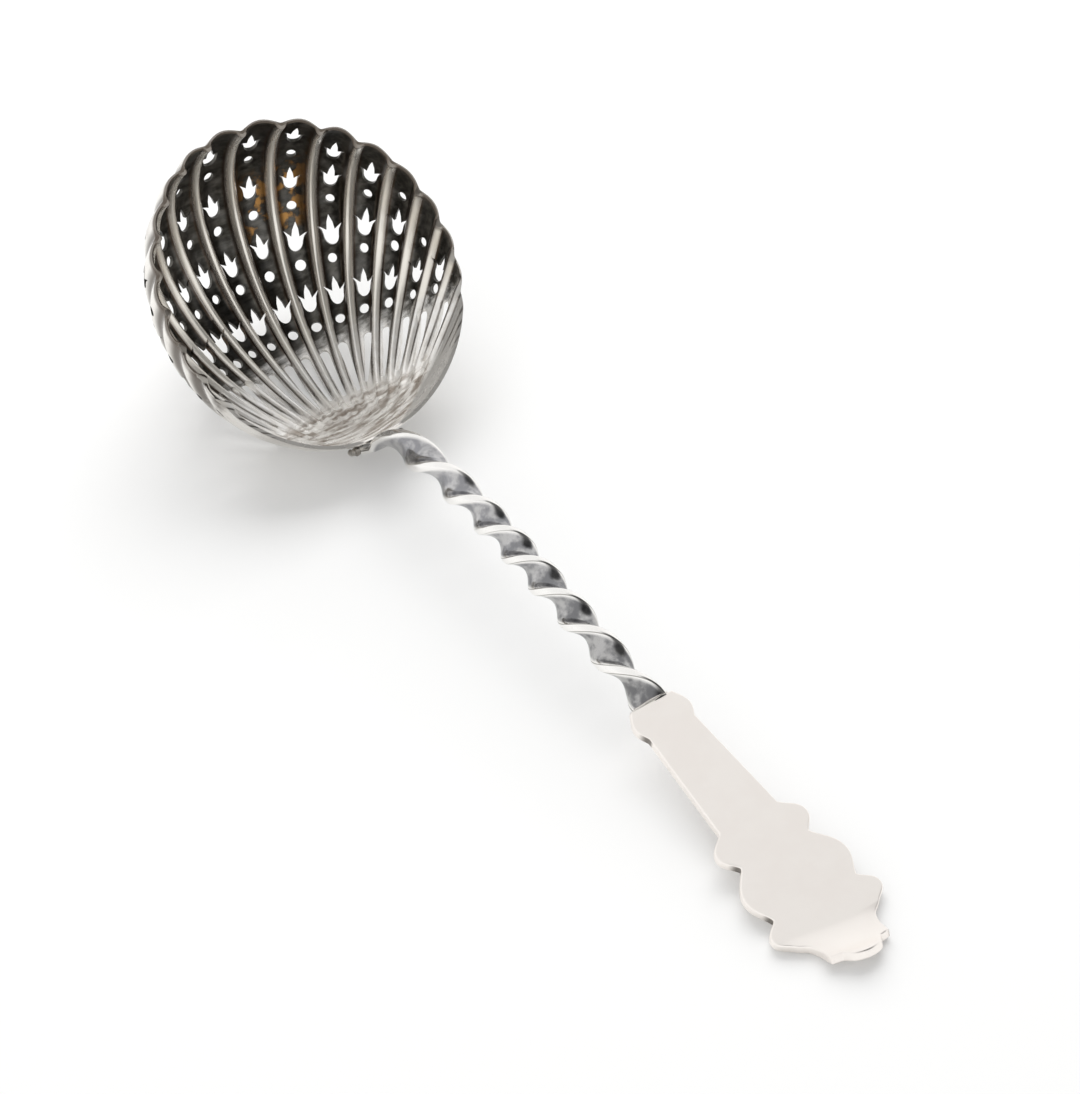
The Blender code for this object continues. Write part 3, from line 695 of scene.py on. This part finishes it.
rib_shine = on_rib * past_slots * inside * reach.step(RIB_SHADE_AND_SHINE_START, RIB_SHADE_AND_SHINE_FULL, 0.12, 0.36)
feed(surface, Base_Color=blend(at_rim, tone, RIM_BROWN),
     Metallic=(inside * (1.0 - dark)).step(0.0, 1.0, 1.0, 0.36) + rib_shine,
     Roughness=wear["Patches"].step(0.3, 0.7, 0.17, 0.25) + dark * 0.12 + on_hub * 0.08)
bumps = wear["Dents"] * inside.step(0.0, 1.0, 0.15, 0.5) + streaks * on_hub * 2.0
add_bumps(surface, bumps, strength=0.25, depth=0.0002)

bowl = add_object("shell_bowl_pierced", build_blank())
bowl_tools = {"Slot Punch": build_punch("slot_punch", slot_outline()),
              "Hole Punch": build_punch("hole_punch", hole_outline()),
              "Tulip Punch": build_punch("tulip_punch", tulip_outline()),
              "Flute Lines": add_object("flute_lines", flute_lines())}
use_tree(bowl, rib_tree, {
    "Scallop Height": SCALLOP_HEIGHT, "Scallop Spread": SCALLOP_SPREAD, "Rib Height": RIB_HEIGHT,
    "Rib Width": RIB_WIDTH, "Hub Radius": HUB_RADIUS, "Full Reach": 2 * RIM_RADIUS, "Spread": FLUTE_SPREAD,
    "Hub Crease": HUB_CREASE, "Silver": bowl_silver})
use_tree(bowl, pierce_tree, {
    **bowl_tools, "Flutes": 2 * FLUTES_EACH_SIDE + 1, "Rows": ROWS_PER_FLUTE, "Slot Length": SLOT_LENGTH,
    "Slot To Hole": SLOT_TO_HOLE, "Hole To Tulip": HOLE_TO_TULIP, "Tulip To Hole": TULIP_TO_HOLE,
    "Rim Margin": RIM_MARGIN, "Wander": PUNCH_WANDER, "Swing": PUNCH_SWING, "Size Spread": PUNCH_SIZE_SPREAD,
    "Seed": PUNCH_SEED, "Extra Tulip Flute": FLUTES_EACH_SIDE + EXTRA_TULIP_FLUTE,
    "Extra Tulip Row": EXTRA_TULIP_ROW, "Silver": bowl_silver})
settle(bowl, bowl_silver, sharp_angle=math.radians(38))
for tool in bowl_tools.values():
    bpy.data.objects.remove(tool)
bowl.data.transform(bowl_place)
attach(bowl, "root")
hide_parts("shell_bowl")

# The twisted stem is a flat bar, hammered thin into a tongue that lies against the bowl, and twisted eight
# half turns to the left between there and the plate, where it spreads again. Its ridges are rubbed bright
# and its hollows are left greyer.
STEM_WIDTH = 0.0057
STEM_THICKNESS = 0.0025
STEM_HALF_TURNS = 8
STEM_SLOW_SHARE = 0.45
STEM_SLOW_RATE = 0.38
STEM_LATE_SHARE = 0.55
STEM_LATE_RATE = 0.65
STEM_END_ANGLE = math.radians(-8)
STEM_NECK_PULL = 0.0120
STEM_TAIL_PULL = 0.0380
STEM_TAIL_WIDTH = 0.0062
STEM_TAIL_THICKNESS = 0.0014
STEM_TAIL_BLEND = 0.0060
SECTION_SOFTNESS = 0.6
TONGUE_LENGTH = 0.0042
TONGUE_WIDTH = 0.0060
TONGUE_THICKNESS = 0.0014
TONGUE_BLEND = 0.0070
SEAM_GAP = 0.0003
PLATE_SLOPE = math.radians(9.3)
PLATE_SEAT = Vector((-0.001767, -0.033584, 0.008815))
STEM_RINGS = 300
SECTION_POINTS = 48
TONGUE_POINTS = 8
ARCH_POINTS = 120
GUIDE_RADIUS = 0.001
plate_place = Matrix.Translation(PLATE_SEAT) @ Matrix.Rotation(PLATE_SLOPE, 4, "X")


def hinge_wall(aside, depth, lift):
    """Point at a height above the bowl's outside wall near the hinge."""
    across = aside / float(half_width(np.array(aside)))
    down = depth / BOWL_DEPTH
    unit = np.array([(-math.sqrt(1 - across ** 2 - down ** 2), across, down)])
    return bowl_place @ Vector((bowl_points(unit) + bowl_outward(unit) * (WALL + lift))[0])


def chain_mesh(name, points, closed=False):
    """A chain of edges through points."""
    count = len(points)
    edges = [(spot, (spot + 1) % count) for spot in range(count if closed else count - 1)]
    mesh = bpy.data.meshes.new(name)
    mesh.from_pydata(points, edges, [])
    return mesh


def stem_points():
    """The stem's middle line: up the bowl's outside wall, over in one curve and down to the plate's head."""
    lift = SEAM_GAP + TONGUE_THICKNESS / 2
    depths = np.linspace(TONGUE_LENGTH, 0, TONGUE_POINTS, endpoint=False)
    points = [hinge_wall(0.0, depth, lift) for depth in depths]
    leaving = hinge_wall(0.0, 0.0, lift)
    upward = bowl_place.to_3x3() @ Vector((0, 0, 1))
    head = plate_place @ Vector((0, -SEAM_GAP, 0))
    outward = plate_place.to_3x3() @ Vector((0, -1, 0))
    controls = (leaving, leaving + upward * STEM_NECK_PULL, head - outward * STEM_TAIL_PULL, head)
    for share in np.linspace(0, 1, ARCH_POINTS):
        rest = 1 - share
        weights = (rest ** 3, 3 * rest ** 2 * share, 3 * rest * share ** 2, share ** 3)
        points.append(sum((point * weight for point, weight in zip(controls, weights)), Vector()))
    return points


# This tree sweeps a thin round tube along the line, then moves each point of it to its place on a flat
# section that turns as it goes
stem_tree, given, stem_end = start_tree("twist_bar", (
    ("Float", ("Width", "Thickness", "Turn", "Slow Share", "Slow Rate", "Late Share", "Late Rate",
               "Tongue Length", "Tongue Width", "Tongue Thickness", "Tongue Blend",
               "Tail Width", "Tail Thickness", "Tail Blend", "Softness")),
    ("Int", ("Rings", "Section Points")), ("Material", ("Silver",))))


def keep(geometry, value, kind="FLOAT"):
    """Keep a value on a geometry's points, so that it stays after the geometry changes its form."""
    node = geometry.tree.nodes.new("GeometryNodeCaptureAttribute")
    node.capture_items.new(kind, "Kept")
    geometry.tree.links.new(geometry.socket, node.inputs["Geometry"])
    geometry.tree.links.new(value.socket, node.inputs[1])
    return Wire(node.outputs[0]), Wire(node.outputs[1])


def even_turn(share):
    """What an even twist would give by a share of the way, less what the slow stretches hold back."""
    slow = given["Slow Share"].maths("MINIMUM", share)
    late = (share - given["Late Share"]).maths("MAXIMUM", 0.0)
    early_lag = (1.0 - given["Slow Rate"]) * (slow - slow * slow / (given["Slow Share"] * 2.0))
    late_lag = (1.0 - given["Late Rate"]) * late * late / ((1.0 - given["Late Share"]) * 2.0)
    return share - early_lag - late_lag


line = first_wire(stem_tree, "GeometryNodeMeshToCurve", {"Mesh": given["Geometry"]})
line = first_wire(stem_tree, "GeometryNodeResampleCurve", {"Curve": line, "Count": given["Rings"]})
along_line = make_node(stem_tree, "GeometryNodeSplineParameter", {}).outputs
line, length_along = keep(line, Wire(along_line["Length"]))
line, full_length = keep(line, first_wire(stem_tree, "GeometryNodeSplineLength", {}))
line, middle = keep(line, first_wire(stem_tree, "GeometryNodeInputPosition", {}), "VECTOR")
line, heading = keep(line, first_wire(stem_tree, "GeometryNodeInputTangent", {}), "VECTOR")
ring = first_wire(stem_tree, "GeometryNodeCurvePrimitiveCircle", {
    "Resolution": given["Section Points"], "Radius": GUIDE_RADIUS})
ring, around = keep(ring, first_wire(stem_tree, "GeometryNodeSplineParameter", {}))
tube = first_wire(stem_tree, "GeometryNodeCurveToMesh", {
    "Curve": line, "Profile Curve": ring, "Fill Caps": True})
past_tongue = length_along - given["Tongue Length"]
share = (past_tongue / (full_length - given["Tongue Length"])).maths("MAXIMUM", 0.0)
twist = even_turn(share) / even_turn(1.0) * given["Turn"]
bar_part = past_tongue.step(0.0, given["Tongue Blend"])
tail_part = (full_length - length_along).step(0.0, given["Tail Blend"], 1.0, 0.0)
width = given["Tongue Width"] + (given["Width"] - given["Tongue Width"]) * bar_part
thickness = given["Tongue Thickness"] + (given["Thickness"] - given["Tongue Thickness"]) * bar_part
width = width + (given["Tail Width"] - width) * tail_part
thickness = thickness + (given["Tail Thickness"] - thickness) * tail_part


def soft_side(kind, size):
    """One side of a soft-cornered section, from a sine or cosine raised to the softness."""
    swing = (around * (2 * math.pi)).maths(kind)
    return abs(swing).maths("POWER", given["Softness"]) * swing.maths("SIGN") * size * 0.5


out_across = soft_side("COSINE", width)
out_rise = soft_side("SINE", thickness)
sideways = (1.0, 0.0, 0.0)
upright = vector_node(stem_tree, "NORMALIZE", vector_node(stem_tree, "CROSS_PRODUCT", heading, sideways))
turn_sine = twist.maths("SINE")
turn_cosine = twist.maths("COSINE")
out_side = out_rise * turn_sine - out_across * turn_cosine
out_up = out_across * turn_sine + out_rise * turn_cosine
bar_point = vector_node(stem_tree, "ADD", middle, vector_node(
    stem_tree, "ADD", scaled(stem_tree, sideways, out_side), scaled(stem_tree, upright, out_up)))
shaped = first_wire(stem_tree, "GeometryNodeSetPosition", {"Geometry": tube, "Position": bar_point})
shaped = first_wire(stem_tree, "GeometryNodeFlipFaces", {"Mesh": shaped})
hollow = 1.0 - abs(out_across) / (width * 0.5)
marked = first_wire(stem_tree, "GeometryNodeStoreNamedAttribute", {
    "Geometry": shaped, "Name": "hollow", "Value": hollow})
end_tree(stem_tree, marked, given["Silver"], stem_end)

RIDGE_SILVER = (0.95, 0.935, 0.91)
HOLLOW_SILVER = (0.30, 0.30, 0.315)
HOLLOW_DARK = (0.17, 0.17, 0.175)
CORNER_SHADE_GREY = (0.22, 0.21, 0.19)
DARK_HOLLOWS_AHEAD = -0.030
PALE_HOLLOWS_AHEAD = 0.025
EDGE_LINES_AHEAD = -0.004
NO_EDGE_LINES_AHEAD = 0.016
stem_silver, surface, wear, place = start_silver("twisted_silver", patch_scale=460.0, mark_scale=1400.0)
bar_mark = make_node(stem_silver.node_tree, "ShaderNodeAttribute", {}, attribute_name="hollow")
hollow = Wire(bar_mark.outputs["Fac"])
in_hollow = hollow.step(0.10, 0.35)
greyed = in_hollow * wear["Patches"].step(0.36, 0.60, 0.64, 1.0)
ahead = split(place)[1]
hollow_tone = blend(ahead.step(DARK_HOLLOWS_AHEAD, PALE_HOLLOWS_AHEAD), HOLLOW_DARK, HOLLOW_SILVER)
# A thin grey line just in from each narrow edge of the bar, on the half toward the plate, is painted shade
# along the bar's corners
corner_shade_line = hollow.step(0.045, 0.075) * hollow.step(0.09, 0.13, 1.0, 0.0)
corner_shade_line = corner_shade_line * ahead.step(EDGE_LINES_AHEAD, NO_EDGE_LINES_AHEAD, 0.8, 0.0)
bar_tone = blend(greyed, RIDGE_SILVER, hollow_tone)
feed(surface, Base_Color=blend(corner_shade_line, bar_tone, CORNER_SHADE_GREY),
     Roughness=wear["Marks"].step(0.25, 0.75, 0.12, 0.22))
add_bumps(surface, wear["Dents"], strength=0.35, depth=0.0002)
stem = add_object("twisted_stem_bar", chain_mesh("stem_line", stem_points()))
use_tree(stem, stem_tree, {
    "Width": STEM_WIDTH, "Thickness": STEM_THICKNESS, "Turn": STEM_HALF_TURNS * math.pi + STEM_END_ANGLE,
    "Slow Share": STEM_SLOW_SHARE, "Slow Rate": STEM_SLOW_RATE, "Late Share": STEM_LATE_SHARE,
    "Late Rate": STEM_LATE_RATE, "Tongue Length": TONGUE_LENGTH, "Tongue Width": TONGUE_WIDTH,
    "Tongue Thickness": TONGUE_THICKNESS, "Tongue Blend": TONGUE_BLEND, "Tail Width": STEM_TAIL_WIDTH,
    "Tail Thickness": STEM_TAIL_THICKNESS, "Tail Blend": STEM_TAIL_BLEND, "Softness": SECTION_SOFTNESS,
    "Rings": STEM_RINGS, "Section Points": SECTION_POINTS, "Silver": stem_silver})
settle(stem, stem_silver, sharp_angle=math.radians(50))
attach(stem, "root")
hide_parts("twisted_stem")

# The handle plate is sawn from flat sheet. Its edges are filed into a swelling head, a plain shaft, three
# stepped knobs on each side and a tab with a narrow lip, and the tab is turned up along a bend that runs a
# little askew. Its face is rubbed to an even satin.
PLATE_THICKNESS = 0.0016
PLATE_EDGE_ROUND = 0.0003
HEAD_LENGTH = 0.0057
HEAD_END_HALF_WIDTH = 0.0040
HEAD_HALF_WIDTH = 0.0053
HEAD_SWELL = 0.55
SHAFT_LENGTH = 0.0196
SHAFT_START_HALF_WIDTH = 0.0044
SHAFT_END_HALF_WIDTH = 0.0056
# Each knob has its length, its half-width, and the half-width of the notch after it
KNOBS = ((0.0069, 0.0086, 0.0066), (0.0101, 0.0097, 0.0080), (0.0059, 0.0104, 0.0079))
KNOB_SWELL = 0.5
WAIST_LENGTH = 0.0016
WAIST_HALF_WIDTH = 0.0061
SHOULDER_LENGTH = 0.0040
SHOULDER_HALF_WIDTH = 0.0055
SHOULDER_STEP = 0.0004
TAB_LIP_LENGTH = 0.0022
TAB_LIP_HALF_WIDTH = 0.0037
TAB_LIP_END_HALF_WIDTH = 0.0022
TAB_LIFT = math.radians(36)
TAB_BEND_LEAD = 0.0005
TAB_BEND_LENGTH = 0.0072
TAB_BEND_SKEW = 0.18
BEND_STEPS = 24
EDGE_ROUND_STEPS = 4
EDGE_CURVE_STEPS = 14
NOTCH_SHADE_REACH = 0.0022


def plate_edge():
    """Half of the plate's outline, as distance from the head, half-width and whether it is a corner."""
    edge = [(0, HEAD_END_HALF_WIDTH, True), (HEAD_LENGTH * HEAD_SWELL, HEAD_HALF_WIDTH, False),
            (HEAD_LENGTH, SHAFT_START_HALF_WIDTH, True)]
    distance = HEAD_LENGTH + SHAFT_LENGTH
    edge.append((distance, SHAFT_END_HALF_WIDTH, True))
    for length, knob_half_width, notch_half_width in KNOBS:
        edge.append((distance + length * KNOB_SWELL, knob_half_width, False))
        distance += length
        edge.append((distance, notch_half_width, True))
    tab_start = distance
    edge.append((distance + WAIST_LENGTH, WAIST_HALF_WIDTH, False))
    distance += WAIST_LENGTH + SHOULDER_LENGTH
    edge.append((distance, SHOULDER_HALF_WIDTH, True))
    edge.append((distance + SHOULDER_STEP, TAB_LIP_HALF_WIDTH, True))
    edge.append((distance + TAB_LIP_LENGTH, TAB_LIP_END_HALF_WIDTH, False))
    return edge, tab_start


def bake_curve(name, curve):
    """Turn a curve into a closed mesh, with its caps welded."""
    item = add_object(name, curve)
    bpy.context.view_layer.update()
    mesh = bpy.data.meshes.new_from_object(item.evaluated_get(bpy.context.evaluated_depsgraph_get()))
    bpy.data.objects.remove(item)
    bm = bmesh.new()
    bm.from_mesh(mesh)
    bmesh.ops.remove_doubles(bm, verts=bm.verts, dist=WELD_DISTANCE)
    bpy.data.meshes.remove(mesh)
    return bm


def bend_tab(bm, middle_start):
    """Turn the plate's end up along a round bend."""
    askew = Vector((TAB_BEND_SKEW, 1, 0)).normalized()
    for bend in np.linspace(0, TAB_BEND_LENGTH, BEND_STEPS):
        geometry = bm.verts[:] + bm.edges[:] + bm.faces[:]
        bmesh.ops.bisect_plane(bm, geom=geometry, plane_co=(0, -middle_start - bend, 0), plane_no=askew)
    radius = TAB_BEND_LENGTH / TAB_LIFT
    for vertex in bm.verts:
        bend_start = middle_start + TAB_BEND_SKEW * vertex.co.x
        past = -vertex.co.y - bend_start
        if past <= 0:
            continue
        turn = TAB_LIFT * min(1.0, past / TAB_BEND_LENGTH)
        straight = max(0.0, past - TAB_BEND_LENGTH)
        inner = radius - vertex.co.z
        vertex.co.y = -bend_start - inner * math.sin(turn) - straight * math.cos(turn)
        vertex.co.z = radius - inner * math.cos(turn) + straight * math.sin(turn)


def mark_notches(bm):
    """Store how close each point is to the notch that closes the head or a knob, on that one's side of it,
    which places the painted shade in the notch corners.
    """
    layer = bm.verts.layers.float.new("notch")
    bmesh.ops.bisect_plane(bm, geom=bm.verts[:] + bm.edges[:] + bm.faces[:], plane_no=(0, 1, 0),
                           plane_co=(0, -HEAD_LENGTH - NOTCH_SHADE_REACH / 2, 0))
    notches = [(HEAD_LENGTH, SHAFT_START_HALF_WIDTH)]
    distance = HEAD_LENGTH + SHAFT_LENGTH
    for length, _, notch_half_width in KNOBS[:-1]:
        distance += length
        notches.append((distance, notch_half_width))
    for distance, notch_half_width in notches:
        for vertex in bm.verts:
            before = distance + vertex.co.y
            outside = abs(vertex.co.x) - notch_half_width
            if min(before, outside) > -NOTCH_SHADE_REACH / 4:
                closeness = 1 - math.hypot(before, outside) / NOTCH_SHADE_REACH
                vertex[layer] = max(vertex[layer], closeness)


def build_plate():
    """The plate's outline with rounded edges, bent up at its tab and set at its place."""
    half, tab_start = plate_edge()
    outline = [(width, -distance, corner) for distance, width, corner in half]
    outline += [(-width, -distance, corner) for distance, width, corner in reversed(half)]
    curve = bpy.data.curves.new("plate_outline", "CURVE")
    curve.dimensions = "2D"
    curve.fill_mode = "BOTH"
    curve.extrude = PLATE_THICKNESS / 2 - PLATE_EDGE_ROUND
    curve.bevel_depth = PLATE_EDGE_ROUND
    curve.bevel_resolution = EDGE_ROUND_STEPS
    curve.offset = -PLATE_EDGE_ROUND
    curve.resolution_u = EDGE_CURVE_STEPS
    spline = curve.splines.new("BEZIER")
    spline.bezier_points.add(len(outline) - 1)
    spline.use_cyclic_u = True
    for point, (x, y, corner) in zip(spline.bezier_points, outline):
        point.co = (x, y, 0)
        handle = "VECTOR" if corner else "AUTO"
        point.handle_left_type = handle
        point.handle_right_type = handle
    bm = bake_curve("plate_outline", curve)
    mark_notches(bm)
    bend_tab(bm, tab_start - TAB_BEND_LEAD)
    bmesh.ops.transform(bm, matrix=plate_place, verts=bm.verts)
    mesh = finish_mesh(bm, "handle_plate_sheet")
    mesh.shade_smooth()
    return mesh


SATIN_WARM = (0.93, 0.88, 0.835)
SATIN_PALE = (0.96, 0.915, 0.87)
NOTCH_SHADE_BROWN = (0.10, 0.085, 0.07)
plate_silver, surface, wear, place = start_silver("plate_silver", patch_scale=130.0, mark_scale=1200.0)
notch_mark = Wire(make_node(place.tree, "ShaderNodeAttribute", {}, attribute_name="notch").outputs["Fac"])
facing_up = split(surface_facing(place.tree))[2]
# The side walls just before the notches that close the head and the first two knobs are painted dark brown:
# painted shade in the notch corners
notch_shade = notch_mark.step(0.05, 0.75) * abs(facing_up).step(0.25, 0.6, 0.85, 0.0)
satin = blend(wear["Patches"].step(0.35, 0.65), SATIN_WARM, SATIN_PALE)
feed(surface, Base_Color=blend(notch_shade, satin, NOTCH_SHADE_BROWN),
     Roughness=wear["Patches"].step(0.25, 0.75, 0.28, 0.33))
add_bumps(surface, wear["Dents"], strength=0.05, depth=0.0001)
plate = add_object("handle_plate_sheet", build_plate())
plate.modifiers.new("flat_faces", "WEIGHTED_NORMAL").keep_sharp = True
settle(plate, plate_silver, sharp_angle=math.radians(50))
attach(plate, "root")
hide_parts("handle_plate")

# Silver solder holds the stem at both ends: an uneven bead round the tongue on the bowl's outside wall, and
# a thin collar where the bar meets the plate's head. It ran while it was hot, so it is lumpy and duller in
# patches, and the bead at the bowl, under the rim, is painted darker still: painted shade.
BOWL_BEAD = 0.0006
HANDLE_BEAD = 0.00035
HANDLE_BEAD_SINK = 0.00012
BEAD_SIDE_POINTS = 6
BEAD_END_POINTS = 17
COLLAR_POINTS = 48
BOWL_BEAD_LUMPS = 0.0009
HANDLE_BEAD_LUMPS = 0.0002
LUMP_SCALE = 900.0
LUMP_SINK = 0.6
BEAD_RINGS = 120
BEAD_SECTION_POINTS = 16

solder_tree, given, solder_end = start_tree("lay_solder", (
    ("Float", ("Bead", "Unevenness", "Lump Scale")), ("Int", ("Rings", "Sides")), ("Material", ("Silver",))))
line = first_wire(solder_tree, "GeometryNodeMeshToCurve", {"Mesh": given["Geometry"]})
line = first_wire(solder_tree, "GeometryNodeResampleCurve", {"Curve": line, "Count": given["Rings"]})
ring = first_wire(solder_tree, "GeometryNodeCurvePrimitiveCircle", {
    "Resolution": given["Sides"], "Radius": given["Bead"]})
bead = first_wire(solder_tree, "GeometryNodeCurveToMesh", {
    "Curve": line, "Profile Curve": ring, "Fill Caps": True})
lumps = noise(first_wire(solder_tree, "GeometryNodeInputPosition", {}), given["Lump Scale"], 2.0)
lumpy = first_wire(solder_tree, "GeometryNodeSetPosition", {
    "Geometry": bead, "Offset": scaled(solder_tree, first_wire(solder_tree, "GeometryNodeInputNormal", {}),
                                       (lumps - LUMP_SINK) * given["Unevenness"])})
end_tree(solder_tree, lumpy, given["Silver"], solder_end)


def bowl_bead_points():
    """A U on the bowl's outside wall, down one side of the tongue, round its end and up the other side."""
    lift = SEAM_GAP + BOWL_BEAD
    reach = TONGUE_WIDTH / 2 + lift
    depths = np.linspace(TONGUE_LENGTH / 3, TONGUE_LENGTH, BEAD_SIDE_POINTS, endpoint=False)
    points = [hinge_wall(-reach, depth, lift) for depth in depths]
    for turn in np.linspace(0, math.pi, BEAD_END_POINTS):
        aside = -reach * math.cos(turn)
        points.append(hinge_wall(aside, TONGUE_LENGTH + lift * math.sin(turn), lift))
    points += [hinge_wall(reach, depth, lift) for depth in reversed(depths)]
    return points


def collar_points():
    """A ring round the bar's end, square to the plate's length."""
    points = []
    for turn in np.linspace(0, 2 * math.pi, COLLAR_POINTS, endpoint=False):
        across = math.copysign(abs(math.cos(turn)) ** SECTION_SOFTNESS, math.cos(turn))
        rise = math.copysign(abs(math.sin(turn)) ** SECTION_SOFTNESS, math.sin(turn))
        across *= STEM_TAIL_WIDTH / 2 - HANDLE_BEAD_SINK
        rise *= STEM_TAIL_THICKNESS / 2 - HANDLE_BEAD_SINK
        aside = rise * math.sin(STEM_END_ANGLE) - across * math.cos(STEM_END_ANGLE)
        up = across * math.sin(STEM_END_ANGLE) + rise * math.cos(STEM_END_ANGLE)
        points.append(plate_place @ Vector((aside, HANDLE_BEAD_SINK, up)))
    return points


SOLDER_GREY = (0.16, 0.145, 0.125)
SOLDER_BRIGHT = (0.84, 0.80, 0.75)
SOLDER_SHADE_AHEAD = 0.02
solder_silver, surface, wear, place = start_silver("silver_solder", patch_scale=420.0, mark_scale=1600.0)
# The grey patches are the solder's own dull colour, made stronger toward the bowl as painted shade under the
# rim
dull_and_shaded = wear["Patches"].step(0.35, 0.65, 1.0, 0.0) * split(place)[1].step(0.0, SOLDER_SHADE_AHEAD, 0.15, 1.0)
feed(surface, Base_Color=blend(dull_and_shaded, SOLDER_BRIGHT, SOLDER_GREY),
     Roughness=wear["Patches"].step(0.3, 0.7, 0.28, 0.42))
add_bumps(surface, wear["Dents"], strength=0.4, depth=0.0003)
for name, node, points, closed, bead_radius, unevenness in (
        ("bowl_solder_bead", "bowl_solder", bowl_bead_points(), False, BOWL_BEAD, BOWL_BEAD_LUMPS),
        ("handle_solder_collar", "handle_solder", collar_points(), True, HANDLE_BEAD, HANDLE_BEAD_LUMPS)):
    solder = add_object(name, chain_mesh(name + "_line", points, closed))
    use_tree(solder, solder_tree, {
        "Bead": bead_radius, "Unevenness": unevenness, "Lump Scale": LUMP_SCALE, "Rings": BEAD_RINGS,
        "Sides": BEAD_SECTION_POINTS, "Silver": solder_silver})
    settle(solder, solder_silver, sharp_angle=math.radians(60))
    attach(solder, "root")
    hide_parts(node)

# The spoon lies on a white table. One large soft light hangs behind it, and the room is bright all round
# but for one dark corner in front on the right, which is what the polished silver mirrors.
FLOOR_HALF = 2.0
FLOOR_WHITE = (0.70, 0.70, 0.697)
FLOOR_GLOW = (1.0, 1.0, 0.99)
FLOOR_GLOW_STRENGTH = 0.16
FLOOR_ROUGHNESS = 0.9
floor_mesh = bpy.data.meshes.new("table")
floor_mesh.from_pydata([(-FLOOR_HALF, -FLOOR_HALF, 0), (FLOOR_HALF, -FLOOR_HALF, 0),
                        (FLOOR_HALF, FLOOR_HALF, 0), (-FLOOR_HALF, FLOOR_HALF, 0)], [], [(0, 1, 2, 3)])
floor = add_object("table", floor_mesh)
table_white = bpy.data.materials.new("table_white")
table_white.use_nodes = True
table_surface = table_white.node_tree.nodes["Principled BSDF"].inputs
table_surface["Base Color"].default_value = (*FLOOR_WHITE, 1.0)
table_surface["Roughness"].default_value = FLOOR_ROUGHNESS
table_surface["Specular IOR Level"].default_value = 0.0
table_surface["Emission Color"].default_value = (*FLOOR_GLOW, 1.0)
table_surface["Emission Strength"].default_value = FLOOR_GLOW_STRENGTH
floor_mesh.materials.append(table_white)

DARK_CORNER = (0.421, -0.520, 0.743)
CORNER_BRIGHTNESS = 0.10
room = bpy.data.worlds.new("pale_room")
bpy.context.scene.world = room
room.use_nodes = True
toward = Wire(make_node(room.node_tree, "ShaderNodeTexCoord", {}).outputs["Generated"])
corner = dot_product(toward, DARK_CORNER).step(0.72, 0.96, 1.0, CORNER_BRIGHTNESS)
room_light = corner * split(toward)[2].step(0.3, 0.9, 1.03, 0.94)
backdrop = room.node_tree.nodes["Background"].inputs
backdrop["Color"].default_value = (1.0, 1.0, 1.0, 1.0)
room.node_tree.links.new(room_light.socket, backdrop["Strength"])


def look(azimuth, elevation):
    """Turn of a camera or light that stands at an azimuth and elevation and looks at the middle."""
    back = Vector((math.sin(azimuth) * math.cos(elevation), -math.cos(azimuth) * math.cos(elevation),
                   math.sin(elevation)))
    right = Vector((math.cos(azimuth), math.sin(azimuth), 0))
    return Matrix((right, back.cross(right), back)).transposed()


def stand(item, target, azimuth, elevation, distance):
    """Stand a camera or light at a distance from its target and turn it there."""
    turn = look(azimuth, elevation)
    item.matrix_world = Matrix.Translation(target + turn.col[2] * distance) @ turn.to_4x4()


WINDOW_SIZE = 1.2
WINDOW_WATTS = 12.2
WINDOW_AZIMUTH = math.radians(152)
WINDOW_ELEVATION = math.radians(47)
WINDOW_DISTANCE = 1.2
window_data = bpy.data.lights.new("window_light", "AREA")
window_data.size = WINDOW_SIZE
window_data.energy = WINDOW_WATTS
window = add_object("window_light", window_data)
window.visible_glossy = False
stand(window, Vector(), WINDOW_AZIMUTH, WINDOW_ELEVATION, WINDOW_DISTANCE)

# The camera stands where the photo was taken from, over the left of the handle, and looks down along the
# spoon toward its bowl through a long lens.
CAMERA_TARGET = Vector((0.009185, 0.010639, 0.0))
CAMERA_AZIMUTH = math.radians(-35.98)
CAMERA_ELEVATION = math.radians(46.16)
CAMERA_DISTANCE = 0.86839
FOCAL_PIXELS = 5366.37
IMAGE_HEIGHT = 1094
SENSOR = 36.0
camera_data = bpy.data.cameras.new("photo_camera")
camera_data.lens = FOCAL_PIXELS * SENSOR / IMAGE_HEIGHT
camera_data.sensor_width = SENSOR
camera = add_object("photo_camera", camera_data)
stand(camera, CAMERA_TARGET, CAMERA_AZIMUTH, CAMERA_ELEVATION, CAMERA_DISTANCE)
bpy.context.scene.camera = camera
bpy.context.scene.view_settings.view_transform = "Standard"
